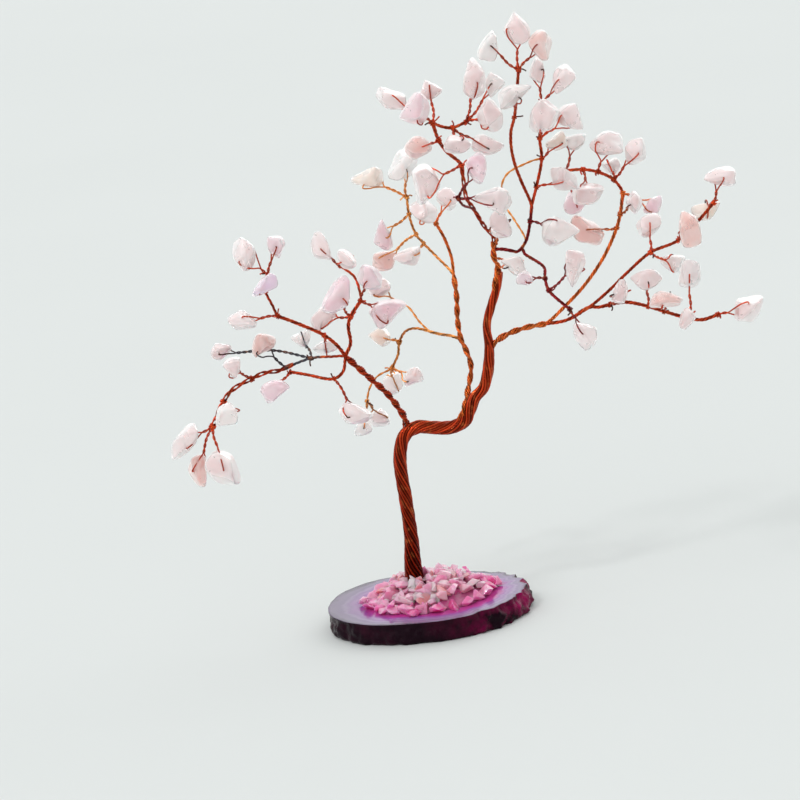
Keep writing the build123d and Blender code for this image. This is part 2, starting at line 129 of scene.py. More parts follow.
# Agate slice
SLICE_THICKNESS = 6.2
SLICE_OUTLINE = [
    (30.3, 3.0), (26.0, 13.0), (14.5, 19.5), (0.0, 23.0), (-13.5, 22.5), (-23.5, 15.0),
    (-28.3, 2.0), (-27.0, -10.0), (-19.0, -20.5), (-5.0, -26.0), (9.0, -26.0),
    (21.5, -19.5), (29.0, -8.0),
]

# Glue bed and crushed quartz; a collar is crumbs heaped round the trunk, as distance out, height, pieces
MOUND_X = 1.6
MOUND_Y = -1.0
GLUE_RADIUS = 16.5
GLUE_HEIGHT = 5.6
SHARD_RADIUS = 2.15
SHARD_CORNERS = 12
SHARD_LIFT = 0.5
SHARD_SINK = 0.82
SHARD_REST = 0.02
SHARD_RINGS = {
    "quartz_outer_ring": (0.97, 23),
    "quartz_middle_ring": (0.71, 17),
    "quartz_inner_ring": (0.45, 11),
    "quartz_crest": (0.19, 5),
}
CRUMBS = 120
SHARD_SIZES = (1.0, 1.45)
CRUMB_SIZES = (1.1, 2.6)
CRUMB_SPREAD = 1.08
COLLARS = [(3.8, 5.9, 10), (6.0, 5.5, 14)]
COLLAR_SIZES = (1.2, 1.9)

# Trunk, in wires of the bundle and in strands seen round its outside
TRUNK_WIRES = 62
UPPER_WIRES = 43
TOP_WIRES = 25
TRUNK_STRANDS = 14
UPPER_STRANDS = 11
TOP_STRANDS = 8
FOOT_RADIUS = 3.1
FOOT_HEIGHT = 6.5
FOOT_RUN = 2.5

# Copper in the tones it takes along the tree, a dark for painted shade at wire ends, and the tints of
# the chips, as linear colours
COPPER = {
    "red": (0.58, 0.064, 0.017),
    "orange": (0.76, 0.18, 0.035),
    "golden": (0.80, 0.34, 0.09),
    "burgundy": (0.30, 0.022, 0.026),
    "steel": (0.075, 0.075, 0.09),
    # painted shade for wire ends
    "dark": (0.085, 0.026, 0.020),
}
ROSE = {
    "pale": (0.96, 0.78, 0.78),
    "pink": (0.95, 0.69, 0.75),
    "lilac": (0.93, 0.74, 0.88),
    "rosy": (0.92, 0.62, 0.58),
    "white": (0.97, 0.86, 0.85),
    "peach": (0.96, 0.79, 0.71),
    "grey": (0.87, 0.80, 0.80),
}

Stem = namedtuple("Stem", "wires points parent", defaults=[None])
Chip = namedtuple("Chip", "stem knot centre length width tilt tint", defaults=["pale"])
Limb = namedtuple("Limb", "stems chips body root tones tips", defaults=[{}, {}])

# Each limb: the body it moves with respect to, the wire that leads into its root from the bundle
# it grows out of, the stems whose copper isn't the usual red and those that end in another tone,
# then its stems and its chips. A stem that branches off names the stem it leaves.
LIMBS = {}

# Crown stem above the cut, the side stem that leaves it, and the two chips they carry
LIMBS["neck"] = Limb(body=None, root=[(22.2, -0.5, 79.5), (22.75, -0.5, 82.6)],
    tones={"crown": "orange", "side": "burgundy"}, stems={
    "crown": Stem(12, [(23.25, 0, 85.46), (23.33, 0, 86.3), (22.3, 0, 88.3), (22, 0, 90.6),
        (22.1, 0, 92.9)]),
    "side": Stem(5, [(22, 0, 90.6), (24.4, -0.6, 90.9), (27.4, -1.1, 90.4)], "crown"),
}, chips=[
    Chip("crown", 3, (23.8, -9, 97.6), 8.5, 6.5, 90),
    Chip("crown", 2, (27.6, -9, 86.4), 8, 5.5, -20, "white"),
])

# Left limb
LIMBS["left_limb"] = Limb(body="base_and_trunk", root=[(-3.2, 0, 36.8), (-2.1, -0.2, 40.6)],
    tips={"middle": "steel"}, stems={
    "limb": Stem(15, [(-2.4, -0.3, 43.5), (-4.7, -2, 47.4), (-7.6, -4, 51), (-10.9, -6, 54),
        (-14.8, -8, 57.4), (-18.8, -10, 61)]),
    "upper": Stem(5, [(-18.8, -10, 61), (-21.3, -11, 64.1), (-24.9, -12, 66.9), (-31.9, -13, 70),
        (-37.5, -13, 72.1)], "limb"),
    "tip": Stem(3, [(-37.5, -13, 72.1), (-39, -13, 75), (-40.9, -12, 79), (-40.2, -12, 83.4)],
        "upper"),
    "middle": Stem(3, [(-18.8, -10, 61), (-23, -9, 61), (-28.6, -7, 60.6), (-35.6, -6, 58)],
        "limb"),
    "lower": Stem(4, [(-18.8, -10, 61), (-19.6, -12, 57), (-22.1, -13, 54.9), (-29.7, -11, 56),
        (-34.4, -8.4, 56.8)], "limb"),
    "inner": Stem(5, [(-18.8, -10, 61), (-17.6, -10, 64.7), (-18.2, -10, 69.4), (-17.6, -10, 72),
        (-14.8, -9, 76.4)], "limb"),
    "inner_tip": Stem(3, [(-14.8, -9, 76.4), (-15.3, -9, 80), (-16.5, -8, 83), (-20.4, -8, 86)],
        "inner"),
}, chips=[
    Chip("tip", 3, (-46.5, -13, 89), 9, 6.5, -50),
    Chip("tip", 3, (-38.4, -11, 91.3), 6.2, 5.2, 70, "pink"),
    Chip("tip", 2, (-41.2, -19, 80.5), 8.4, 4.8, 20, "lilac"),
    Chip("upper", 4, (-47.3, -14, 70.8), 8, 6, -20),
    Chip("middle", 2, (-53.8, 0.5, 62.4), 6, 5, 0),
    Chip("middle", 3, (-42.2, -7, 64), 7.5, 6, 60, "rosy"),
    Chip("middle", 2, (-31, 2, 66), 6, 5, 20, "white"),
    Chip("lower", 4, (-39, -14, 52), 8, 6, 50, "pink"),
    Chip("lower", 2, (-16.2, -17, 45.1), 9.5, 6, -10),
    Chip("upper", 2, (-24.6, -4.5, 63.8), 6.5, 5, -15, "white"),
    Chip("inner", 3, (-25.2, -6, 71.6), 8.5, 6, 60),
    Chip("inner", 3, (-20.9, -18, 78), 11.5, 7, 75, "pink"),
    Chip("inner", 4, (-12.2, -14, 82.5), 8.5, 6.5, -40, "pink"),
    Chip("inner", 4, (-6.8, -8, 73.1), 10.5, 7.5, 15, "pink"),
    Chip("inner_tip", 3, (-26, -10, 91), 8.5, 5.2, -65),
    Chip("inner_tip", 3, (-18.8, -15, 87.4), 6.5, 4.6, -45),
])

# Left hanging branch, on the left limb
LIMBS["left_drop"] = Limb(body="left_limb", root=[(-33.5, -6.3, 59), (-35.6, -6, 58)], stems={
    "branch": Stem(8, [(-37.9, -6.5, 57.1), (-41.2, -8, 56.6), (-45.1, -9, 54.9),
        (-50.4, -9, 51.8), (-53, -8, 48.5), (-56, -8, 41.7)]),
}, chips=[
    Chip("branch", 2, (-50.4, -14, 58), 5.8, 5, 90),
    Chip("branch", 4, (-51.6, -15.5, 44.8), 7.8, 6.4, 70, "white"),
    Chip("branch", 5, (-64, -9, 37.2), 11.5, 6, 65),
    Chip("branch", 5, (-60.4, -5, 29.5), 9.5, 5.4, 85, "rosy"),
    Chip("branch", 5, (-53.2, -11, 29.5), 11.5, 8.5, -65),
])

# Centre limb
LIMBS["centre_limb"] = Limb(body="base_and_trunk", root=[(12.9, -0.4, 43.3), (14.2, -0.5, 47)],
    tones={"limb": "orange", "left": "golden", "right": "orange"}, stems={
    "limb": Stem(11, [(15, 2.4, 51), (16, 5, 58.5), (14.6, 7, 63), (13.2, 9, 66.1),
        (12.3, 11, 71.1), (12, 13, 78.1), (11.2, 15, 84)]),
    "right": Stem(4, [(11.2, 15, 84), (10.6, 16, 89), (8.4, 17, 94.9), (6.2, 17, 98.6)], "limb"),
    "left": Stem(3, [(11.2, 15, 84), (6.3, 20, 89.6), (2.8, 22, 93.2), (0.6, 22, 95.8),
        (-1.4, 20, 101.4), (-2, 19, 106)], "limb"),
}, chips=[
    Chip("left", 5, (-13.2, 20, 111.2), 9.5, 6.2, 15, "peach"),
    Chip("left", 5, (-2.8, 16, 114.6), 10, 7.5, 60, "white"),
    Chip("left", 4, (-9, 16, 95.5), 9, 5.2, -80, "pink"),
    Chip("left", 3, (-8.6, 25, 88.6), 8, 6.5, 30, "rosy"),
    Chip("left", 2, (-2, 14, 89.6), 7.5, 5.6, -10),
    Chip("right", 3, (2.6, 10, 101.6), 8, 7, 0),
    Chip("right", 3, (9.4, 19, 105.4), 7, 5.5, -60),
])

# Back branch, on the centre limb
LIMBS["back_branch"] = Limb(body="centre_limb", root=[(14.6, 7, 63), (13.1, 9, 65.9)],
    tones={"branch": "golden", "upper": "golden", "lower": "golden", "tip": "golden"}, stems={
    "branch": Stem(4, [(11, 10.4, 66.9), (7.3, 15, 67.6), (4.8, 18, 68.3)]),
    "upper": Stem(2, [(4.8, 18, 68.3), (1.7, 21, 71.1), (-1.7, 24, 75.5), (-5, 26, 77)], "branch"),
    "lower": Stem(3, [(4.8, 18, 68.3), (0.8, 20, 69.3), (-2.2, 23, 68.6), (-4.1, 26, 65.5),
        (-4.5, 28, 61.9), (-6.2, 29, 58.2)], "branch"),
    "tip": Stem(2, [(-6.2, 29, 58.2), (-10.5, 29, 55.7), (-12.6, 28, 52.4), (-13.4, 27, 48.7)],
        "lower"),
}, chips=[
    Chip("upper", 3, (-10, 25, 81), 7, 5.5, 20),
    Chip("lower", 3, (-9.6, 22, 67), 6.5, 5.5, 0, "peach"),
    Chip("lower", 5, (-6, 35, 53.5), 7.5, 6, 20, "white"),
    Chip("lower", 5, (-0.4, 25, 55.6), 6, 5, 20),
    Chip("tip", 3, (-14.6, 25, 41), 6, 5, 45, "white"),
    Chip("tip", 3, (-10, 32, 44), 6.5, 5.5, 0),
])

# Right limb
LIMBS["right_limb"] = Limb(body="base_and_trunk", root=[(20.9, 0, 60), (21.6, 0, 64)],
    tones={"limb": "orange", "upper": "orange"}, stems={
    "limb": Stem(12, [(23.8, 0, 66), (26.5, 0, 67.6), (31.4, 1, 69.3), (36.7, 2, 70.3)]),
    "upper": Stem(5, [(36.7, 2, 70.3), (43, 5, 76), (47.3, 7, 80.6), (50.7, 8.5, 85.1),
        (53.8, 10, 90.2), (56.8, 11, 97.2), (57.8, 12, 101), (58.5, 13, 107)], "limb"),
    "top": Stem(4, [(58.5, 13, 107), (55.9, 13, 110.7), (51.5, 13, 112.8), (47.2, 13, 113.5),
        (42.5, 13, 113.2)], "upper"),
    "lower": Stem(5, [(36.7, 2, 70.3), (42.6, 1, 71.3), (49, 0, 75)], "limb"),
    "outer": Stem(4, [(49, 0, 75), (54.6, -2, 79.8), (59.4, -4, 84.6), (65.5, -5, 89.9),
        (73.1, -4, 93.2), (78.4, -3, 98.3), (83, -2, 103.6)], "lower"),
}, chips=[
    Chip("top", 2, (53.8, 13, 120.6), 9.5, 7, 15),
    Chip("top", 1, (62, 14, 118.6), 8.5, 6.5, 75),
    Chip("top", 1, (55.5, 19, 115), 5.5, 4.5, 0, "grey"),
    Chip("top", 3, (48.7, 8, 106.6), 9.5, 6.5, 25),
    Chip("top", 4, (45.2, 17, 104.5), 7.5, 6.2, 40, "pink"),
    Chip("top", 4, (44.6, 14, 121.2), 7, 5, 0, "white"),
    Chip("upper", 5, (48, 10, 96.4), 11, 7, -45, "rosy"),
    Chip("upper", 6, (61.4, 6, 104), 6.5, 4.5, 80),
    Chip("upper", 7, (67.2, 12, 103.4), 6.5, 5, 30, "pink"),
    Chip("outer", 3, (65.3, -2, 97.6), 7.5, 6, 30),
    Chip("outer", 4, (75.6, -12, 96.3), 10.5, 6.2, -75, "rosy"),
    Chip("outer", 6, (84.6, -1, 110.8), 9, 5.5, 0),
    Chip("outer", 6, (81.5, 6, 102), 8.5, 5.2, 20, "peach"),
    Chip("outer", 3, (72.4, 3, 87), 7, 5, 0, "white"),
])

# Right outer branch, on the right limb
LIMBS["right_sprig"] = Limb(body="right_limb", root=[(46, 0.4, 73.4), (49, 0, 74.9)], stems={
    "branch": Stem(5, [(51.7, -0.8, 74.9), (54.6, -2, 75.6), (59, -4, 76.2), (65, -6, 75),
        (69.4, -7, 73.6), (76.2, -8, 71.7), (80, -8, 71.3), (84.3, -8, 72.7)]),
}, chips=[
    Chip("branch", 1, (57, -12, 78.6), 6.5, 5.2, 45),
    Chip("branch", 3, (64, -8.5, 82.6), 9, 6, 0),
    Chip("branch", 4, (69.4, -14, 76.6), 9.5, 5, 0, "rosy"),
    Chip("branch", 5, (75.4, -14.5, 71.5), 6.5, 4.5, 80),
    Chip("branch", 5, (76.4, -6, 83.8), 8.5, 7, 60, "grey"),
    Chip("branch", 7, (93, -9, 74.2), 9.5, 7.2, 30),
])

# Crown, left spray
LIMBS["crown_left"] = Limb(body="base_and_trunk", root=[(22, 0, 90.6), (22.1, 0, 92.9)],
    tones={"front": "burgundy"}, stems={
    "limb": Stem(7, [(22, -0.4, 94.3), (19.6, -4, 96.8), (16.5, -8, 101.4), (14.3, -10, 104.7),
        (13.7, -11, 107.8), (12.9, -12, 113.4)]),
    "left": Stem(5, [(12.9, -12, 113.4), (8.7, -13, 117), (6.6, -13, 120), (5, -13, 124.5)],
        "limb"),
    "right": Stem(4, [(5, -13, 124.5), (7.3, -11, 123.8), (10.4, -10, 123.5), (14, -10, 125)],
        "left"),
    "front": Stem(3, [(16.5, -8, 101.4), (13.2, -14, 102.5), (12, -16, 104.2)], "limb"),
}, chips=[
    Chip("limb", 5, (2.6, -10, 108), 11, 8.5, 70),
    Chip("left", 2, (1, -18, 117.5), 7.5, 6.5, 0, "rosy"),
    Chip("left", 3, (0.6, -19, 127.4), 9.5, 7.5, 50, "pink"),
    Chip("left", 3, (-6.4, -10, 131), 9, 5.5, -15),
    Chip("left", 3, (4.4, -6.5, 134), 6.5, 5.5, 0),
    Chip("right", 2, (11.8, -16, 118.4), 7.5, 5.2, -5),
    Chip("right", 3, (16.4, -14, 136.4), 11, 6.5, 80),
    Chip("right", 3, (21.6, -8.6, 135), 6.8, 5.5, 70, "white"),
    Chip("right", 3, (20.6, -16, 126), 9.5, 7, -60),
    Chip("right", 2, (20, -8.5, 118.4), 9.5, 6, -15),
    Chip("front", 2, (17.1, -19, 112), 8.5, 6, -80, "pink"),
    Chip("front", 2, (21.6, -17, 104), 10.5, 7.5, -15),
])

# Crown, top spray
LIMBS["crown_top"] = Limb(body="base_and_trunk", root=[(25.2, -0.7, 90.8), (27.4, -1.1, 90.4)],
    tones={"limb": "burgundy", "loop": "golden"}, stems={
    "limb": Stem(4, [(28.7, -1.4, 90.2), (31, -1, 93), (32.2, 0, 98.6), (32.6, 1, 102.8)]),
    "left": Stem(4, [(32.6, 1, 102.8), (29.8, 2, 109.5), (28, 2, 114), (26.9, 2, 118.7),
        (26.8, 2, 123.5), (27.7, 3, 127.1), (28.4, 4, 134.4), (28.8, 4, 140.1)], "limb"),
    "right": Stem(4, [(32.6, 1, 102.8), (33.9, 3, 108), (35.4, 4, 116), (34.8, 4, 121.5),
        (35.6, 4, 131)], "limb"),
    "loop": Stem(2, [(31, -1, 93), (27.7, 3, 99.4), (25.5, 6, 103), (24.4, 7, 108.5), (26, 7, 112),
        (31.1, 6.4, 114.8), (33.2, 5.6, 115.6), (35.2, 4.3, 116)], "limb"),
}, chips=[
    Chip("left", 7, (28.2, 4, 151.6), 9, 7.5, 90),
    Chip("left", 7, (20.6, 3, 146.6), 8.5, 5.5, 75, "white"),
    Chip("left", 7, (35, 2, 146.6), 8.5, 6.5, -70, "rosy"),
    Chip("left", 5, (27.6, -2.2, 133.2), 10.5, 6, 30, "white"),
    Chip("right", 3, (35, -3, 127), 10, 8.5, 40),
    Chip("right", 3, (43.4, 4, 127), 8.5, 7.5, -50),
    Chip("right", 2, (40, 7, 120.6), 6.5, 5, 45, "peach"),
    Chip("right", 4, (40.8, 2, 137.4), 8.5, 6, 60),
    Chip("right", 4, (34, 6, 140), 7.5, 5.6, -60),
    Chip("right", 1, (41.6, 1, 110), 9, 6.8, -20),
    Chip("limb", 2, (40, -4, 96.4), 10.5, 8, 25, "white"),
])

# Crown, front spray, on the top spray
LIMBS["crown_front"] = Limb(body="crown_top", root=[(29.8, -1.3, 91.2), (30.3, -2.0, 90.4)],
    tones={"branch": "burgundy"}, stems={
    "branch": Stem(4, [(30.6, -2.9, 89.6), (35.8, -9, 85.7), (36, -13, 82.5), (37, -15, 79.2),
        (40.6, -17, 75.7), (42.8, -18, 73.9)]),
}, chips=[
    Chip("branch", 3, (44.2, -20, 85.6), 10.5, 6.2, -75),
    Chip("branch", 5, (47, -21.4, 67.2), 8.5, 6.5, -60),
    Chip("branch", 2, (30.2, -16, 82.6), 5, 4, 0, "pink"),
])


def on_tree(point):
    """Model point of a drawing point: stood on the slice, leaning, with true heights."""
    x, y, z = point
    lean = radians(LEAN)
    sight = radians(SIGHT)
    across = x * cos(lean) + z * sin(lean)
    seen = z * cos(lean) - x * sin(lean)
    height = (seen - y * sin(sight)) / cos(sight)
    return Vector((FOOT_X + across, y, SLICE_THICKNESS + FOOT_RISE + height))


def between(a, b, share):
    """Smooth step from 0 at a to 1 at b."""
    t = min(max((share - a) / (b - a), 0), 1)
    return t * t * (3 - 2 * t)


def smooth_line(points, step):
    """Points about a step apart on a smooth line through the given ones."""
    first = points[0] * 2 - points[1]
    last = points[-1] * 2 - points[-2]
    padded = [first] + list(points) + [last]
    line = [points[0].copy()]
    for p0, p1, p2, p3 in zip(padded, padded[1:], padded[2:], padded[3:]):
        t1 = sqrt((p1 - p0).length)
        t2 = t1 + sqrt((p2 - p1).length)
        t3 = t2 + sqrt((p3 - p2).length)
        count = max(1, ceil((p2 - p1).length / step))
        for k in range(1, count + 1):
            t = t1 + (t2 - t1) * k / count
            a1 = p0 * ((t1 - t) / t1) + p1 * (t / t1)
            a2 = p1 * ((t2 - t) / (t2 - t1)) + p2 * ((t - t1) / (t2 - t1))
            a3 = p2 * ((t3 - t) / (t3 - t2)) + p3 * ((t - t2) / (t3 - t2))
            b1 = a1 * ((t2 - t) / t2) + a2 * (t / t2)
            b2 = a2 * ((t3 - t) / (t3 - t1)) + a3 * ((t - t1) / (t3 - t1))
            line.append(b1 * ((t2 - t) / (t2 - t1)) + b2 * ((t - t1) / (t2 - t1)))
    return line


def framing(line):
    """Direction of a line at each of its points, and two directions square to it."""
    runs = [b - a for a, b in zip(line, line[1:])]
    ways = [runs[0]] + [a + b for a, b in zip(runs, runs[1:])] + [runs[-1]]
    ways = [way.normalized() for way in ways]
    side = ways[0].orthogonal().normalized()
    frames = [(ways[0], side, ways[0].cross(side))]
    for before, way in zip(ways, ways[1:]):
        side = before.rotation_difference(way) @ side
        side = (side - way * side.dot(way)).normalized()
        frames.append((way, side, way.cross(side)))
    return frames


def distances(line):
    """Distance along a line to each of its points."""
    total = [0]
    for a, b in zip(line, line[1:]):
        total.append(total[-1] + (b - a).length)
    return total


def nearest(line, point):
    """Number of a line's point nearest to a place."""
    return min(range(len(line)), key=lambda k: (line[k] - point).length)


def bundle_radius(wires):
    """Radius of a twisted bundle of so many wires."""
    return WIRE * PACKING * sqrt(wires) / 2


def places_of(wires, radius):
    """Places of the wires seen in a bundle, square to it: a ring, two pairs, or two plies.

    Each is an orbit round the bundle and an angle there, then an orbit and an angle in the ply.
    """
    outside = bundle_radius(wires)
    if wires <= 3:
        return [(outside - radius, 2 * pi * k / wires, 0, 0) for k in range(wires)]
    if wires <= PAIRED_WIRES:
        turn = asin(min(radius / (outside - radius), 0.645))
        turns = (turn, -turn, pi + turn, pi - turn)
        return [(outside - radius, place, 0, 0) for place in turns]
    ply = outside * PLY_SWELL * PLY_SHARE
    orbit = outside * PLY_SWELL - ply
    corners = [2 * pi * k / PLY_WIRES for k in range(PLY_WIRES)]
    return [(orbit, place, ply - radius, corner) for place in (0, pi) for corner in corners]


def stand(name, content):
    """New object of the scene that holds a mesh, a lamp or a camera."""
    thing = bpy.data.objects.new(name, content)
    bpy.context.scene.collection.objects.link(thing)
    return thing


class Skin:
    """Vertices, faces and colours, gathered before they become one mesh."""

    def __init__(self):
        self.points = []
        self.faces = []
        self.tints = []

    def add(self, points, faces, tint):
        """Put a set of points and faces in, all of one tint."""
        base = len(self.points)
        self.points += points
        self.faces += [[base + k for k in face] for face in faces]
        self.tints += [tint] * len(points)

    def tube(self, line, radius, tint, tip=None, share=0.18):
        """Round wire along a line, cut square; a share of it, to the far end, in another tint."""
        points = []
        faces = []
        for middle, (way, side, up) in zip(line, framing(line)):
            for k in range(STRAND_SIDES):
                turn = 2 * pi * k / STRAND_SIDES
                points.append(middle + (side * cos(turn) + up * sin(turn)) * radius)
        for ring in range(len(line) - 1):
            for k in range(STRAND_SIDES):
                near = ring * STRAND_SIDES
                far = near + STRAND_SIDES
                after = (k + 1) % STRAND_SIDES
                faces.append([near + k, near + after, far + after, far + k])
        low = len(points)
        high = low + STRAND_SIDES
        points += points[:STRAND_SIDES] + points[-STRAND_SIDES:]
        faces.append(list(reversed(range(low, high))))
        faces.append(list(range(high, high + STRAND_SIDES)))
        self.add(points, faces, tint)
        if tip:
            changed = (round(len(line) * share) + 2) * STRAND_SIDES
            self.tints[-changed:] = [tip] * changed

    def piece(self, name, finish, smooth=True):
        """The gathered mesh as an object of the scene."""
        mesh = bpy.data.meshes.new(name)
        mesh.from_pydata([point * MM for point in self.points], [], self.faces)
        tints = mesh.attributes.new("tint", "FLOAT_COLOR", "POINT")
        flat = [value for tint in self.tints for value in (*tint, 1)]
        tints.data.foreach_set("color", flat)
        mesh.polygons.foreach_set("use_smooth", [smooth] * len(mesh.polygons))
        mesh.materials.append(finish)
        return stand(name, mesh)


def varied(tint, amount, dice):
    """A tint made a little lighter or darker."""
    factor = 1 + amount * (2 * dice.random() - 1)
    return tuple(min(value * factor, 1) for value in tint)


def fill(made, settings):
    """Set inputs of a node by name, with _ for a space."""
    for name, value in settings.items():
        made.inputs[name.replace("_", " ")].default_value = value
    return made


def new_finish(name, **settings):
    """Node material with plain settings of its main shader: the material, its tree, the shader."""
    finish = bpy.data.materials.new(name)
    finish.use_nodes = True
    tree = finish.node_tree
    return finish, tree, fill(tree.nodes["Principled BSDF"], settings)


def node(tree, kind, **settings):
    """New node of a kind."""
    return fill(tree.nodes.new("ShaderNode" + kind), settings)


def speckle(tree, scale, detail=3.0, rough=0.55):
    """Noise in the frame of the object."""
    pattern = node(tree, "TexNoise", Scale=scale, Detail=detail, Roughness=rough)
    tree.links.new(node(tree, "TexCoord").outputs["Object"], pattern.inputs["Vector"])
    return pattern.outputs["Fac"]


def position(tree, axis, frame_of="Object"):
    """Place along an axis, in the frame of the object or of the sky."""
    sides = node(tree, "SeparateXYZ")
    tree.links.new(node(tree, "TexCoord").outputs[frame_of], sides.inputs["Vector"])
    return sides.outputs[axis]


def spread(tree, source, low, high, start=0.3, end=0.7):
    """A value stretched to run from low at start to high at end."""
    made = node(tree, "MapRange", From_Min=start, From_Max=end, To_Min=low, To_Max=high)
    tree.links.new(source, made.inputs["Value"])
    return made.outputs["Result"]


def worked_out(tree, way, first, second):
    """Sum or product of two values."""
    made = node(tree, "Math")
    made.operation = way
    tree.links.new(first, made.inputs[0])
    tree.links.new(second, made.inputs[1])
    return made.outputs["Value"]


def mixed(tree, share, first, second, way="MIX"):
    """A colour mixed with a fixed one, by a share."""
    made = node(tree, "Mix")
    made.data_type = "RGBA"
    made.blend_type = way
    sockets = {socket.identifier: socket for socket in made.inputs}
    tree.links.new(share, sockets["Factor_Float"])
    if isinstance(first, bpy.types.NodeSocket):
        tree.links.new(first, sockets["A_Color"])
    else:
        sockets["A_Color"].default_value = (*first, 1)
    sockets["B_Color"].default_value = (*second, 1)
    return next(socket for socket in made.outputs if socket.identifier == "Result_Color")


def attribute(tree, name):
    """Node that reads a value kept on the mesh."""
    made = node(tree, "Attribute")
    made.attribute_name = name
    return made


def dress(tree, shader, colour, gloss, low, high):
    """Colour of a shader, and roughness between two values by a pattern."""
    tree.links.new(colour, shader.inputs["Base Color"])
    tree.links.new(spread(tree, gloss, low, high), shader.inputs["Roughness"])


def bumped(tree, shader, height, strength, distance):
    """Relief on a shader from a height."""
    made = node(tree, "Bump", Strength=strength, Distance=distance)
    tree.links.new(height, made.inputs["Height"])
    tree.links.new(made.outputs["Normal"], shader.inputs["Normal"])


def copper_finish():
    """Drawn copper wire with a thin lacquer, darker and redder in patches and near the foot."""
    finish, tree, shader = new_finish("copper", Metallic=1.0, Coat_Weight=0.06, Coat_Roughness=0.15)
    own = attribute(tree, "tint").outputs["Color"]
    patches = spread(tree, speckle(tree, 120), 0.0, 0.7)
    worn = mixed(tree, patches, own, (0.50, 0.30, 0.26), "MULTIPLY")
    # darker and redder towards the foot
    low = spread(tree, position(tree, "Z"), 0.95, 0.0, 0.018, 0.066)
    darker_near_foot = mixed(tree, low, worn, (0.44, 0.22, 0.18), "MULTIPLY")
    glints = spread(tree, speckle(tree, 500, 2.0), 0.0, 0.3, 0.55, 0.75)
    bright = mixed(tree, glints, darker_near_foot, (0.85, 0.28, 0.08))
    dress(tree, shader, bright, speckle(tree, 600), 0.13, 0.28)
    bumped(tree, shader, speckle(tree, 2600, 2.0), 0.25, 0.00005)
    return finish


def rose_finish():
    """Tumbled rose quartz: cloudy veils in a pale, light-filled stone with a soft polish."""
    finish, tree, shader = new_finish(
        "rose_quartz", IOR=1.45, Transmission_Weight=0.45, Coat_Weight=0.35, Coat_Roughness=0.1,
        Subsurface_Weight=0.8, Subsurface_Radius=(1.0, 0.85, 0.83), Subsurface_Scale=0.003)
    own = attribute(tree, "tint").outputs["Color"]
    veils = spread(tree, speckle(tree, 200, 4.0, 0.55), 0.0, 0.6, 0.38, 0.7)
    clouded = mixed(tree, veils, own, (0.98, 0.90, 0.89))
    specks = spread(tree, speckle(tree, 1100, 2.0), 0.0, 0.12, 0.6, 0.8)
    specked = mixed(tree, specks, clouded, (0.95, 0.70, 0.68))
    dress(tree, shader, specked, speckle(tree, 300), 0.24, 0.44)
    bumped(tree, shader, speckle(tree, 380, 3.0), 0.04, 0.0003)
    return finish


def shard_finish():
    """Crushed pink quartz with fresh, glassy breaks."""
    finish, tree, shader = new_finish(
        "crushed_quartz", IOR=1.54, Transmission_Weight=0.18, Coat_Weight=0.5, Coat_Roughness=0.05,
        Subsurface_Weight=0.85, Subsurface_Radius=(1.0, 0.65, 0.78), Subsurface_Scale=0.003)
    own = attribute(tree, "tint").outputs["Color"]
    veils = spread(tree, speckle(tree, 320, 4.0), 0.0, 0.5, 0.45, 0.7)
    clouded = mixed(tree, veils, own, (0.99, 0.66, 0.76))
    stains = spread(tree, speckle(tree, 220, 3.0), 0.0, 0.7, 0.66, 0.73)
    stained = mixed(tree, stains, clouded, (0.45, 0.08, 0.07))
    dress(tree, shader, stained, speckle(tree, 800), 0.04, 0.14)
    bumped(tree, shader, speckle(tree, 700, 3.0), 0.15, 0.0003)
    return finish


def glue_finish():
    """Clear resin, tinted by the stones around it."""
    finish, tree, shader = new_finish("glue", IOR=1.5, Transmission_Weight=0.55)
    cloud = spread(tree, speckle(tree, 240, 4.0), 0.0, 1.0)
    clouded = mixed(tree, cloud, (0.76, 0.05, 0.32), (0.92, 0.28, 0.52))
    dress(tree, shader, clouded, speckle(tree, 500), 0.04, 0.16)
    bumped(tree, shader, speckle(tree, 350, 3.0), 0.3, 0.0005)
    return finish


def agate_finish():
    """Polished, dyed agate: bands that follow the outline, violet and magenta to the middle."""
    finish, tree, shader = new_finish(
        "agate", IOR=1.54, Specular_IOR_Level=0.27,
        Subsurface_Weight=0.25, Subsurface_Radius=(1.0, 0.5, 0.9), Subsurface_Scale=0.002)
    band = attribute(tree, "band").outputs["Fac"]
    sway = spread(tree, speckle(tree, 90, 4.0), -0.05, 0.05)
    ramp = node(tree, "ValToRGB")
    tree.links.new(worked_out(tree, "ADD", band, sway), ramp.inputs["Fac"])
    stops = [
        (0.00, (0.020, 0.008, 0.024)), (0.03, (0.09, 0.07, 0.12)), (0.06, (0.20, 0.15, 0.25)),
        (0.12, (0.18, 0.12, 0.25)), (0.15, (0.29, 0.20, 0.36)), (0.19, (0.23, 0.10, 0.31)),
        (0.23, (0.31, 0.12, 0.37)), (0.26, (0.26, 0.04, 0.31)), (0.29, (0.38, 0.04, 0.32)),
        (0.32, (0.48, 0.018, 0.27)), (0.44, (0.56, 0.018, 0.27)), (0.60, (0.38, 0.016, 0.22)),
    ]
    while len(ramp.color_ramp.elements) < len(stops):
        ramp.color_ramp.elements.new(0.5)
    for element, (place, colour) in zip(ramp.color_ramp.elements, stops):
        element.position = place
        element.color = (*colour, 1)
    mist = spread(tree, speckle(tree, 60, 5.0), 0.0, 0.35)
    misted = mixed(tree, mist, ramp.outputs["Color"], (0.25, 0.17, 0.32))
    left = spread(tree, position(tree, "X"), 0.7, 0.0, -0.028, -0.012)
    greyed = mixed(tree, left, misted, (0.13, 0.095, 0.155))
    dress(tree, shader, greyed, speckle(tree, 300), 0.08, 0.2)
    bumped(tree, shader, speckle(tree, 220, 3.0), 0.05, 0.0003)
    return finish


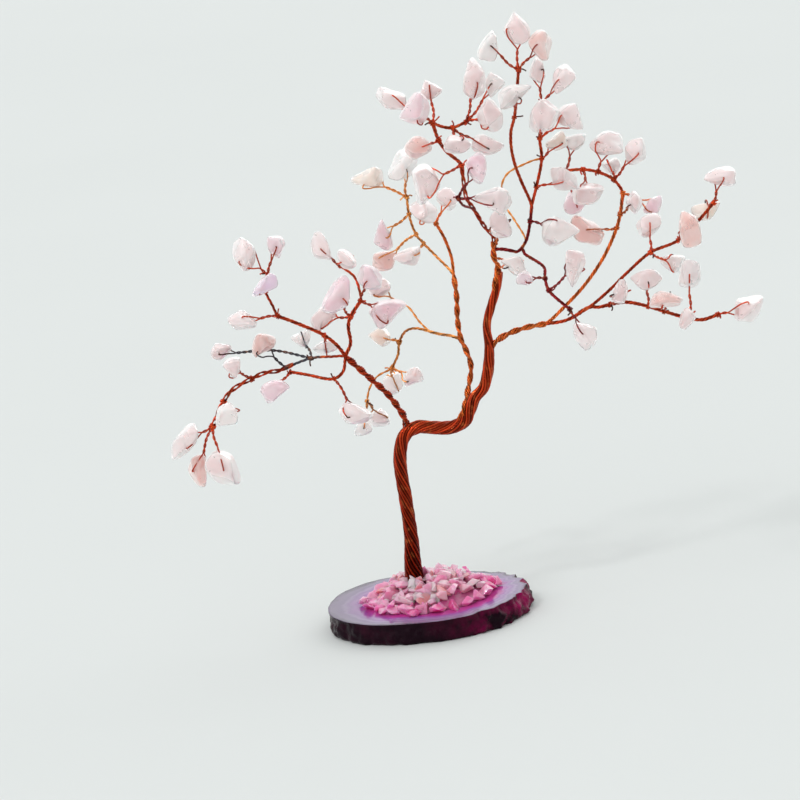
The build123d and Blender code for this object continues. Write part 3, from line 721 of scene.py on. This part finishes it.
def rind_finish():
    """Rough outer skin of the slice: nearly black purple, with magenta painted in towards the right,
    where light gets through.
    """
    finish, tree, shader = new_finish("agate_rind", IOR=1.54, Specular_IOR_Level=0.07)
    # painted glow: magenta light through the stone, painted into the colour towards the right
    glow = spread(tree, speckle(tree, 90, 4.0), 0.0, 1.0, 0.46, 0.66)
    right = spread(tree, position(tree, "X"), 0.08, 1.0, 0.004, 0.024)
    seen = worked_out(tree, "MULTIPLY", glow, right)
    rind = mixed(tree, seen, (0.009, 0.001, 0.005), (0.30, 0.002, 0.08))
    dust = spread(tree, speckle(tree, 500, 4.0), 0.0, 0.06, 0.6, 0.8)
    dusty = mixed(tree, dust, rind, (0.10, 0.05, 0.09))
    dress(tree, shader, dusty, speckle(tree, 260, 4.0), 0.06, 0.26)
    bumped(tree, shader, speckle(tree, 420, 5.0, 0.6), 0.5, 0.0008)
    return finish


def floor_finish():
    """Pale, matt studio floor."""
    finish, tree, shader = new_finish("floor", Roughness=0.9, Specular_IOR_Level=0.0)
    cloud = spread(tree, speckle(tree, 3.0), 0.0, 1.0)
    pale = mixed(tree, cloud, (0.66, 0.68, 0.675), (0.675, 0.695, 0.69))
    tree.links.new(pale, shader.inputs["Base Color"])
    return finish


copper = copper_finish()
rose_quartz = rose_finish()
crushed_quartz = shard_finish()
glue = glue_finish()
agate = agate_finish()
agate_rind = rind_finish()


def settle(thing, body, slot, *nodes):
    """Let a piece move with a body and stand for CAD nodes. The slot is not used."""
    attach(thing, body)
    if nodes:
        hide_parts(*nodes)


# Trunk: one bundle from the slice to the cut; wires leave it inside at the two forks above
TRUNK_ROUTE = [(-0.6, 0, 9), (-2.2, 0, 20.4), (-3.6, 0, 29), (-3.9, 0, 34.5), (-2.4, 0, 39.4),
               (1, 0, 41.4), (6.4, 0, 41.2), (10.6, 0, 41.4), (14, 0, 43), (15.6, 0, 46.4),
               (17, 0, 49.6), (19.4, 0, 52.4), (20.7, 0, 57), (21, 0, 63.8), (20.3, 0, 70),
               (21.6, 0, 75.5), (23.2, 0, 81), (23.6, 0, 85.4)]
foot_top = SLICE_THICKNESS + FOOT_HEIGHT
foot_points = [Vector((FOOT_X, 0, SLICE_THICKNESS + 0.3)), Vector((FOOT_X, 0, foot_top)),
               Vector((FOOT_X, 0, foot_top + FOOT_RUN))]
trunk_points = foot_points + [on_tree(point) for point in TRUNK_ROUTE]
trunk_line = smooth_line(trunk_points, 0.8)
trunk_frames = framing(trunk_line)
trunk_far = distances(trunk_line)


def half_way(number):
    """Middle of the run that follows one of the trunk's points."""
    return nearest(trunk_line, (trunk_points[number] + trunk_points[number + 1]) / 2)


TRUNK_ENDS = {
    "trunk_foot": nearest(trunk_line, trunk_points[1]),
    "trunk_lower": half_way(8),
    "trunk_sideways": half_way(12),
    "trunk_upper": half_way(16),
    "trunk_top": len(trunk_line) - 1,
}
sideways_from = trunk_far[nearest(trunk_line, trunk_points[7])]
sideways_to = trunk_far[nearest(trunk_line, trunk_points[11])]
first_fork = trunk_far[nearest(trunk_line, trunk_points[13])]
second_fork = trunk_far[nearest(trunk_line, trunk_points[16])]
foot_end = trunk_far[TRUNK_ENDS["trunk_foot"]]

trunk_turns = [0]
for far, back in zip(trunk_far[1:], trunk_far):
    flat = between(sideways_from - 6, sideways_from + 2, far)
    flat *= 1 - between(sideways_to - 2, sideways_to + 6, far)
    pitch = TRUNK_PITCH + (SIDEWAYS_PITCH - TRUNK_PITCH) * flat
    trunk_turns.append(trunk_turns[-1] + (far - back) / pitch)

STRAND_SHARE = sin(pi / TRUNK_STRANDS)
TRUNK_STRAND = bundle_radius(TRUNK_WIRES) * STRAND_SHARE / (1 + STRAND_SHARE)
dice = random.Random(4)
trunk_strands = []
for strand in range(TRUNK_STRANDS):
    line = []
    trim = FRAY * dice.random()
    bulge = dice.random() * ANY_TURN
    for k, (middle, (way, side, up)) in enumerate(zip(trunk_line, trunk_frames)):
        far = trunk_far[k]
        upper = between(first_fork - FORK_RUN, first_fork + FORK_RUN, far)
        top = between(second_fork - FORK_RUN, second_fork + FORK_RUN, far)
        count = TRUNK_STRANDS + (UPPER_STRANDS - TRUNK_STRANDS) * upper
        count += (TOP_STRANDS - UPPER_STRANDS) * top
        wires = TRUNK_WIRES + (UPPER_WIRES - TRUNK_WIRES) * upper
        wires += (TOP_WIRES - UPPER_WIRES) * top
        out = bundle_radius(wires) - TRUNK_STRAND
        sunk = 1.0
        if strand >= UPPER_STRANDS:
            sunk = 1 - upper**3
        elif strand >= TOP_STRANDS:
            sunk = 1 - top**3
        if sunk < SUNK_AWAY or far > trunk_far[-1] - trim:
            break
        flare = 1 - between(0, foot_end + FOOT_FLARE_RUN, far)
        out *= 1 + FOOT_FLARE * flare + UNEVEN * sin(far * UNEVEN_WAVE + bulge)
        turn = 2 * pi * (strand / count - trunk_turns[k])
        line.append(middle + (side * cos(turn) + up * sin(turn)) * (out * sunk))
    shade = varied(COPPER["red"], 0.35, dice)
    # painted shade: every third trunk strand darkened
    if strand % 3 == 1:
        shade = tuple(value * PAINTED_SHADE for value in shade)
    trunk_strands.append((line, shade))

# Painted shade: a dark core tube runs inside each bundle, so the gaps between strands read as shade
core_painted_shade = tuple(value * CORE_SHADE for value in COPPER["red"])
begin = 0
for name, end in TRUNK_ENDS.items():
    skin = Skin()
    for line, tint in trunk_strands:
        part = line[begin:end + 1]
        if len(part) > 1:
            skin.tube(part, TRUNK_STRAND, tint)
    core = trunk_line[begin:end + 1]
    middle_far = trunk_far[(begin + end) // 2]
    wires = TRUNK_WIRES
    if middle_far > first_fork:
        wires = UPPER_WIRES
    if middle_far > second_fork:
        wires = TOP_WIRES
    # dark core of painted shade
    skin.tube(core, bundle_radius(wires) - CORE_INSET * TRUNK_STRAND, core_painted_shade)
    settle(skin.piece(name + "_wires", copper), "base_and_trunk", "copper", name)
    begin = end


def chip_axes(chip):
    """Half lengths of a chip and the directions they run in."""
    angle = radians(chip.tilt - LEAN)
    along = Vector((cos(angle), 0, sin(angle)))
    across = Vector((-sin(angle), 0, cos(angle)))
    deep = Vector((0, 1, 0))
    half = (chip.length / 2, chip.width / 2, chip.width * CHIP_THICKNESS / 2)
    return list(zip(half, (along, across, deep)))


def reach(chip, aim):
    """Distance from a chip's middle to its skin along a direction."""
    total = 0
    for half, axis in chip_axes(chip):
        total += (aim.dot(axis) / half) ** 2
    return 1 / sqrt(total)


def bore_axis(chip, root, count):
    """Direction of the drilled hole: square to the twig, turned a little on every chip."""
    aim = (on_tree(chip.centre) - root).normalized()
    side = aim.cross(Vector((0, 1, 0)))
    if side.length < 0.3:
        side = aim.cross(Vector((1, 0, 0)))
    side = side.normalized()
    roll = radians((count * 67) % 110 + 35)
    return aim, side * cos(roll) + aim.cross(side) * sin(roll)


def unit_ball(detail):
    """Points and faces of an even ball."""
    ball = bmesh.new()
    bmesh.ops.create_icosphere(ball, subdivisions=detail, radius=1.0)
    points = np.array([vertex.co[:] for vertex in ball.verts])
    faces = [[vertex.index for vertex in face.verts] for face in ball.faces]
    ball.free()
    return points, faces


BALL_POINTS, BALL_FACES = unit_ball(CHIP_DETAIL)


def add_chip(skin, chip, tint, seed):
    """Tumbled chip: flat breaks with worn edges, no two alike, filling its own size."""
    dice = random.Random(seed)
    ways = []
    depths = []
    for k in range(CHIP_FACETS):
        level = 1 - (2 * k + 1) / CHIP_FACETS
        turn = k * pi * (3 - sqrt(5)) + seed
        ring = sqrt(1 - level * level)
        way = Vector((level, ring * cos(turn), ring * sin(turn)))
        way += Vector((dice.gauss(0, 0.3), dice.gauss(0, 0.3), dice.gauss(0, 0.3)))
        ways.append(way.normalized()[:])
        depths.append(0.62 + 0.38 * dice.random())
    sharp = 4.5 + 3.5 * dice.random()
    facing = np.maximum(BALL_POINTS @ np.array(ways).T, 0) / np.array(depths)
    radius = (facing ** sharp).sum(axis=1) ** (-1 / sharp)
    form = BALL_POINTS * np.minimum(radius, 1.4)[:, None]
    taper = dice.uniform(-CHIP_TAPER, CHIP_TAPER)
    form[:, 1:] *= 1 + taper * form[:, :1]
    form[:, 1] += dice.uniform(-CHIP_BEND, CHIP_BEND) * form[:, 0] ** 2
    low = form.min(axis=0)
    high = form.max(axis=0)
    form = (form - (low + high) / 2) / ((high - low) / 2)
    centre = on_tree(chip.centre)
    axes = chip_axes(chip)
    points = []
    for share in form:
        spot = Vector(share) + Vector((seed, 0, 0))
        dent = 0.99 + 0.07 * noise.noise(spot * 1.3) + 0.006 * noise.noise(spot * 3.6)
        point = centre.copy()
        for value, (half, axis) in zip(share, axes):
            point += axis * (half * value * dent)
        points.append(point)
    skin.add(points, BALL_FACES, tint)


def add_twig(skin, chip, root, count, tint, dice):
    """Twig: two wires twisted together from the stem, then parted round the chip into its hole."""
    centre = on_tree(chip.centre)
    aim, bore = bore_axis(chip, root, count)
    crotch = centre - aim * (reach(chip, aim) + WIRE / 2 + CROTCH)
    length = (crotch - root).length
    bow = aim.cross(bore) * (0.07 * length * dice.choice((-1, 1)))
    line = smooth_line([root, (root + crotch) / 2 + bow, crotch], 0.4)
    frames = framing(line)
    far = distances(line)
    way, side, up = frames[-1]
    phase = atan2(bore.dot(up), bore.dot(side))
    for hand in (1, -1):
        strand = []
        for middle, (way, side, up), gone in zip(line, frames, far):
            turn = phase + 2 * pi * (far[-1] - gone) / TWIG_PITCH + (0 if hand > 0 else pi)
            strand.append(middle + (side * cos(turn) + up * sin(turn)) * (WIRE / 2 + 0.02))
        leg = strand[-2:]
        for angle in SHOULDERS:
            to = bore * (hand * cos(radians(angle))) - aim * sin(radians(angle))
            leg.append(centre + to * (reach(chip, to) * 0.97 + WIRE / 2))
        leg.append(centre + bore * (hand * reach(chip, bore) * 0.45))
        # painted shade: the end of the leg, in the chip's hole, darkened
        tip = COPPER["dark"] if dice.random() < DARK_ENDS else None
        skin.tube(strand[:-2] + smooth_line(leg, 0.4), WIRE / 2, varied(tint, 0.35, dice), tip)


def bundle_strands(line, wires, pitch, splay, dice):
    """Lines of the wires seen in a twisted bundle that runs along a line."""
    phase = dice.random() * ANY_TURN
    frames = framing(line)
    far = distances(line)
    strands = []
    for out, place, own, corner in places_of(wires, WIRE / 2):
        path = []
        sway = dice.random() * ANY_TURN
        for middle, (way, side, up), gone in zip(line, frames, far):
            turn = phase + place - 2 * pi * gone / pitch
            inner = corner - 2 * pi * gone / PLY_PITCH
            loose = out * (1 + 0.07 * sin(gone * 0.9 + sway))
            wide = 1 + splay * (1 - between(*SPLAY_END, gone))
            across = (cos(turn) * loose + cos(inner) * own) * wide
            above = (sin(turn) * loose + sin(inner) * own) * wide
            path.append(middle + side * across + up * above)
        strands.append(path)
    return strands


def add_wrap(skin, line, knot, around, tint, dice):
    """Wire wound tight round a stem where a twig leaves it, its cut end standing off."""
    at = nearest(line, knot)
    way, side, up = framing(line)[at]
    turns = dice.uniform(*WRAP_TURNS)
    start = dice.random() * ANY_TURN
    steps = round(turns * 12)
    coil = []
    for k in range(steps + 1):
        turn = start + 2 * pi * turns * k / steps
        out = side * cos(turn) + up * sin(turn)
        along = (k / steps - 0.5) * turns * WIRE * 1.1
        coil.append(line[at] + out * (around + WIRE * 0.3) + way * along)
    onward = (coil[-1] - coil[-2]).normalized()
    tail = dice.uniform(*WRAP_TAIL)
    slant = way * dice.uniform(-0.6, 0.6)
    coil.append(coil[-1] + (onward * 0.5 + out * 0.3 + slant * 0.5) * tail)
    coil.append(coil[-1] + (onward * 0.25 + out * 0.4 + slant) * tail)
    # the cut end of a wrap darkened in the same way as the legs
    tip = COPPER["dark"] if dice.random() < DARK_ENDS else None
    skin.tube(smooth_line(coil, 0.3), WIRE / 2, varied(tint, 0.4, dice), tip)


# Limbs: twisted stems, twigs and chips
for limb_number, (name, limb) in enumerate(LIMBS.items()):
    dice = random.Random(100 + limb_number)
    body = name if limb.body else "base_and_trunk"
    root_skin = Skin()
    stem_skin = Skin()
    twig_skin = Skin()
    chip_skin = Skin()
    lines = {}
    for key, stem in limb.stems.items():
        points = [on_tree(point) for point in stem.points]
        lead = []
        if stem.parent:
            parent = limb.stems[stem.parent]
            knot = parent.points.index(stem.points[0])
            if knot > 0:
                lead = [(on_tree(parent.points[knot - 1]) + points[0]) / 2]
        else:
            lead = [on_tree(point) for point in limb.root]
        line = smooth_line(lead + points, 0.5)
        cut = 0
        if limb.body and not stem.parent:
            cut = nearest(line, points[1])
        pitch = LIMB_PITCH if stem.wires > THIN_STEM else STEM_PITCH
        tint = COPPER[limb.tones.get(key, "red")]
        splay = SPLAY if cut and limb.body == "base_and_trunk" and stem.wires > PAIRED_WIRES else 0
        strands = bundle_strands(line, stem.wires, pitch, splay, dice)
        for number, path in enumerate(strands):
            shade = varied(tint, 0.3, dice)
            # painted shade: every third wire of a stem darkened
            if number % 3 == 2:
                shade = tuple(value * PAINTED_SHADE for value in shade)
            if cut:
                root_skin.tube(path[:cut + 1], WIRE / 2, shade)
            tip = COPPER[limb.tips[key]] if key in limb.tips else None
            stem_skin.tube(path[cut:], WIRE / 2, shade, tip, 0.5)
        # painted shade: a dark core inside the stem, seen between its wires
        if stem.wires > HOLLOW_STEM and name not in OPEN_TWISTS:
            inner = min(bundle_radius(stem.wires) - 0.9 * WIRE, CORE_LIMIT)
            if cut:
                root_skin.tube(line[:cut + 1], inner, core_painted_shade)
            stem_skin.tube(line[cut:], inner, core_painted_shade)
        lines[key] = line
    for count, chip in enumerate(limb.chips):
        root = on_tree(limb.stems[chip.stem].points[chip.knot])
        tone = limb.tips.get(chip.stem, limb.tones.get(chip.stem, "red"))
        tint = COPPER[tone]
        add_twig(twig_skin, chip, root, count, tint, dice)
        wires = limb.stems[chip.stem].wires
        if wires <= PAIRED_WIRES:
            add_wrap(twig_skin, lines[chip.stem], root, bundle_radius(wires), tint, dice)
        stone = varied(ROSE[chip.tint], 0.06, dice)
        add_chip(chip_skin, chip, stone, 31 * limb_number + count)
    settle(stem_skin.piece(name + "_bundle", copper), body, "copper", name + "_stems")
    settle(twig_skin.piece(name + "_wires", copper), body, "copper", name + "_twigs")
    settle(chip_skin.piece(name + "_stones", rose_quartz), body, "rose_quartz", name + "_chips")
    if limb.body:
        fork = root_skin.piece(name + "_fork", copper)
        first = next(iter(limb.stems.values()))
        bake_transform(fork)

# Agate slice: polished top with a hair of rounding, lumpy rind round the side
outline = smooth_line([Vector((x, y, 0)) for x, y in SLICE_OUTLINE * 3], 0.5)
first_point = Vector((*SLICE_OUTLINE[0], 0))
hits = [k for k, point in enumerate(outline) if (point - first_point).length < 1e-6]
outline = outline[hits[1]:hits[2]]
around = len(outline)
middle = Vector((6.0, -6.0, 0))
slice_points = []
slice_faces = []
slice_bands = []
slice_rind = []
SIDE_ROWS = [0.0, 0.02, 0.06, 0.11, 0.17, 0.24, 0.31, 0.38, 0.46, 0.54, 0.62, 0.70, 0.78, 0.86,
             0.93, 0.98, 1.0]
TOP_RINGS = [0.985, 0.965, 0.94, 0.91, 0.88, 0.84, 0.80, 0.75, 0.70, 0.64, 0.57, 0.5, 0.4, 0.3,
             0.2, 0.1]
outward = []
brink = []
for k, point in enumerate(outline):
    ahead = outline[(k + 1) % around] - outline[k - 1]
    outward.append(Vector((ahead.y, -ahead.x, 0)).normalized())
    chipped = abs(noise.noise(point * 0.17)) + 0.25 * abs(noise.noise(point * 0.6))
    brink.append(0.25 + 0.4 * chipped + between(4, 28, point.x) * (1.6 + 3.0 * chipped))
for depth in reversed(SIDE_ROWS):
    for point, out, edge in zip(outline, outward, brink):
        spot = Vector((point.x, point.y, SLICE_THICKNESS * (1 - depth)))
        slope = edge * max(0, 1 - depth / 0.5) ** 1.6 + 0.8 * max(0, (depth - 0.8) / 0.2) ** 2
        domes = noise.voronoi(spot * 0.3)[0][0] + 0.4 * noise.voronoi(spot * 0.75)[0][0]
        rough = 1.1 + 0.8 * between(0, 25, point.x)
        lump = 0.5 * noise.noise(spot * 0.2) + 0.4 - rough * domes
        slope -= min(lump, 0.3) * min(1, depth * 5)
        slice_points.append(spot - out * slope)
        slice_bands.append(0.0)
for share in TOP_RINGS:
    for point, out, edge in zip(outline, outward, brink):
        spot = middle + (point - out * edge - middle) * share
        slice_points.append(Vector((spot.x, spot.y, SLICE_THICKNESS)))
        slice_bands.append(1 - share)
rows = len(SIDE_ROWS) + len(TOP_RINGS)
for row in range(rows - 1):
    for k in range(around):
        after = (k + 1) % around
        slice_faces.append([row * around + k, row * around + after,
                            (row + 1) * around + after, (row + 1) * around + k])
        slice_rind.append(1 if row < len(SIDE_ROWS) - 1 else 0)
slice_points.append(middle + Vector((0, 0, SLICE_THICKNESS)))
slice_bands.append(1.0)
slice_points.append(Vector((middle.x, middle.y, 0)))
slice_bands.append(0.0)
for k in range(around):
    after = (k + 1) % around
    slice_faces.append([(rows - 1) * around + k, (rows - 1) * around + after, rows * around])
    slice_rind.append(0)
    slice_faces.append([after, k, rows * around + 1])
    slice_rind.append(1)
slice_mesh = bpy.data.meshes.new("agate_stone")
slice_mesh.from_pydata([point * MM for point in slice_points], [], slice_faces)
bands = slice_mesh.attributes.new("band", "FLOAT", "POINT")
bands.data.foreach_set("value", slice_bands)
slice_mesh.polygons.foreach_set("use_smooth", [True] * len(slice_faces))
slice_mesh.materials.append(agate)
slice_mesh.materials.append(agate_rind)
slice_mesh.polygons.foreach_set("material_index", slice_rind)
stone = stand("agate_stone", slice_mesh)
settle(stone, "base_and_trunk", "agate", "agate_slice")

# Glue bed: a low dome, uneven where it ran between the stones
glue_sphere = (GLUE_RADIUS**2 + GLUE_HEIGHT**2) / (2 * GLUE_HEIGHT)


def dome(out):
    """Height of the glue over the slice at a distance from the middle of the mound."""
    return sqrt(max(glue_sphere**2 - out**2, 0)) - glue_sphere + GLUE_HEIGHT


skin = Skin()
points = [Vector((MOUND_X, MOUND_Y, SLICE_THICKNESS + dome(0)))]
faces = []
GLUE_RINGS = 14
GLUE_AROUND = 64
for ring in range(1, GLUE_RINGS + 1):
    for k in range(GLUE_AROUND):
        turn = 2 * pi * k / GLUE_AROUND
        edge = 1 + 0.05 * noise.noise(Vector((cos(turn) * 2, sin(turn) * 2, 0)))
        out = GLUE_RADIUS * ring / GLUE_RINGS
        spot = Vector((MOUND_X + out * edge * cos(turn), MOUND_Y + out * edge * sin(turn), 0))
        rise = dome(out) * (0.72 + 0.2 * noise.noise(spot * 0.35))
        points.append(Vector((spot.x, spot.y, SLICE_THICKNESS + max(rise, 0))))
for k in range(GLUE_AROUND):
    after = (k + 1) % GLUE_AROUND
    faces.append([0, 1 + k, 1 + after])
    for ring in range(GLUE_RINGS - 1):
        near = 1 + ring * GLUE_AROUND
        far = near + GLUE_AROUND
        faces.append([near + k, far + k, far + after, near + after])
faces.append([1 + (GLUE_RINGS - 1) * GLUE_AROUND + k for k in reversed(range(GLUE_AROUND))])
skin.add(points, faces, (0.8, 0.5, 0.7))
settle(skin.piece("glue_pool", glue), "base_and_trunk", "glue", "glue_bed")

# Crushed quartz: the bedded pieces, then the crumbs between them
SHARD_TINTS = [(0.99, 0.36, 0.53), (0.99, 0.46, 0.60), (0.99, 0.62, 0.70), (0.98, 0.27, 0.47),
               (0.99, 0.48, 0.57), (0.95, 0.30, 0.33)]
# painted: rim shards and crumbs take the magenta of the dyed agate seen through them
SEEN_THROUGH_TINTS = [(0.94, 0.10, 0.35), (0.97, 0.18, 0.43), (0.98, 0.31, 0.51)]


def add_shard(skin, corners, tint):
    """Broken piece: the tight skin round a set of corners, its edges barely worn."""
    form = bmesh.new()
    for corner in corners:
        form.verts.new(corner)
    bmesh.ops.convex_hull(form, input=form.verts)
    bmesh.ops.delete(form, geom=[v for v in form.verts if not v.link_faces], context="VERTS")
    bmesh.ops.dissolve_limit(form, angle_limit=0.12, verts=form.verts, edges=form.edges)
    bmesh.ops.bevel(form, geom=form.edges[:], offset=0.07, segments=1, affect="EDGES",
                    clamp_overlap=True)
    bmesh.ops.recalc_face_normals(form, faces=form.faces)
    form.verts.index_update()
    points = [vertex.co.copy() for vertex in form.verts]
    faces = [[vertex.index for vertex in face.verts] for face in form.faces]
    form.free()
    skin.add(points, faces, tint)


def any_way(dice):
    """Random direction, of random length."""
    return Vector((dice.gauss(0, 1), dice.gauss(0, 1), dice.gauss(0, 1)))


def shard_corners(middle, size, dice):
    """Corners of a splinter turned any way, never below the slice's top."""
    half = (size * dice.uniform(1.1, 1.5), size * dice.uniform(0.85, 1.15),
            size * dice.uniform(0.5, 0.85))
    axis = any_way(dice)
    turn = Matrix.Rotation(dice.uniform(0, 2 * pi), 3, axis)
    corners = []
    for k in range(SHARD_CORNERS):
        way = any_way(dice).normalized()
        corner = middle + turn @ Vector([a * b for a, b in zip(way, half)])
        corner.z = max(corner.z, SLICE_THICKNESS + SHARD_REST)
        corners.append(corner)
    return corners


dice = random.Random(9)
foot_axis = Vector((FOOT_X, 0, 0))
for name, (ring, pieces) in SHARD_RINGS.items():
    skin = Skin()
    for count in range(pieces):
        angle = 2 * pi * (count + 0.5 * ring) / pieces
        out = ring * GLUE_RADIUS
        spot = Vector((MOUND_X + out * cos(angle), MOUND_Y + out * sin(angle), 0))
        if (spot - foot_axis).length < FOOT_RADIUS + SHARD_RADIUS:
            continue
        spot.z = SLICE_THICKNESS + SHARD_SINK * dome(out) + SHARD_LIFT
        corners = shard_corners(spot, SHARD_RADIUS * dice.uniform(*SHARD_SIZES), dice)
        # rim shards painted with the magenta of the agate seen through them
        tints = SEEN_THROUGH_TINTS if ring > 0.9 else SHARD_TINTS
        add_shard(skin, corners, varied(dice.choice(tints), 0.08, dice))
    settle(skin.piece(name + "_stones", crushed_quartz, smooth=False), "base_and_trunk",
           "crushed_quartz", name)

skin = Skin()
for crumb in range(CRUMBS):
    out = GLUE_RADIUS * CRUMB_SPREAD * sqrt((crumb + dice.random()) / CRUMBS)
    angle = crumb * pi * (3 - sqrt(5)) + dice.uniform(-0.3, 0.3)
    spot = Vector((MOUND_X + CRUMB_SPREAD * out * cos(angle), MOUND_Y + out * sin(angle), 0))
    size = dice.uniform(*CRUMB_SIZES)
    bare = out > 0.6 * GLUE_RADIUS and spot.x > 5 and spot.y < -5
    if bare or (spot - foot_axis).length < 2.4 + size:
        continue
    spot.z = SLICE_THICKNESS + SHARD_SINK * dome(min(out, GLUE_RADIUS)) + dice.uniform(0.0, 1.1)
    corners = shard_corners(spot, size, dice)
    # crumbs near the rim painted with the magenta seen through them
    tints = SEEN_THROUGH_TINTS if out > 0.85 * GLUE_RADIUS else SHARD_TINTS
    add_shard(skin, corners, varied(dice.choice(tints), 0.08, dice))
for out, rise, pieces in COLLARS:
    for count in range(pieces):
        angle = 2 * pi * (count + dice.uniform(-0.2, 0.2)) / pieces
        spot = foot_axis + Vector((out * cos(angle), out * sin(angle), SLICE_THICKNESS + rise))
        corners = shard_corners(spot, dice.uniform(*COLLAR_SIZES), dice)
        add_shard(skin, corners, varied(dice.choice(SHARD_TINTS), 0.08, dice))
settle(skin.piece("quartz_crumbs", crushed_quartz, smooth=False), "base_and_trunk",
       "crushed_quartz")

# Floor, light and camera
floor_mesh = bpy.data.meshes.new("floor")
FLOOR = 30.0
floor_mesh.from_pydata([(-FLOOR, -FLOOR, 0), (FLOOR, -FLOOR, 0), (FLOOR, FLOOR, 0),
                        (-FLOOR, FLOOR, 0)], [], [[0, 1, 2, 3]])
floor_mesh.materials.append(floor_finish())
floor = stand("floor", floor_mesh)

world = bpy.data.worlds.new("studio")
world.use_nodes = True
sky = world.node_tree.nodes["Background"]
sky.inputs["Color"].default_value = (0.97, 1.0, 0.99, 1)
glow = spread(world.node_tree, position(world.node_tree, "Y", "Generated"), 0.40, 0.95, -0.8, 0.6)
world.node_tree.links.new(glow, sky.inputs["Strength"])
bpy.context.scene.world = world


def add_sun(name, strength, angle, azimuth, height):
    """Soft distant light from a direction: azimuth from the viewer's side, towards the right."""
    lamp = bpy.data.lights.new(name, "SUN")
    lamp.energy = strength
    lamp.angle = radians(angle)
    stand(name, lamp).rotation_euler = (radians(90 - height), 0, radians(azimuth))


add_sun("key", 1.1, 80, -35, 40)
add_sun("spark", 0.5, 7, -50, 48)
add_sun("back", 0.6, 80, 150, 45)

sight = radians(SIGHT)
lean = radians(LEAN)
ahead = Vector((0, cos(sight), -sin(sight)))
up = Vector((sin(lean), cos(lean) * sin(sight), cos(lean) * cos(sight)))
right = ahead.cross(up)
CAMERA_AWAY = 1.2444
SEEN = on_tree((-3.92, 0, 49)) * MM
camera_data = bpy.data.cameras.new("camera")
camera_data.lens = 200
camera_data.sensor_width = 36
camera = stand("camera", camera_data)
turn = Matrix((right, up, -ahead)).transposed()
camera.matrix_world = Matrix.Translation(SEEN - ahead * CAMERA_AWAY) @ turn.to_4x4()
bpy.context.scene.camera = camera
bpy.context.scene.view_settings.view_transform = "Standard"
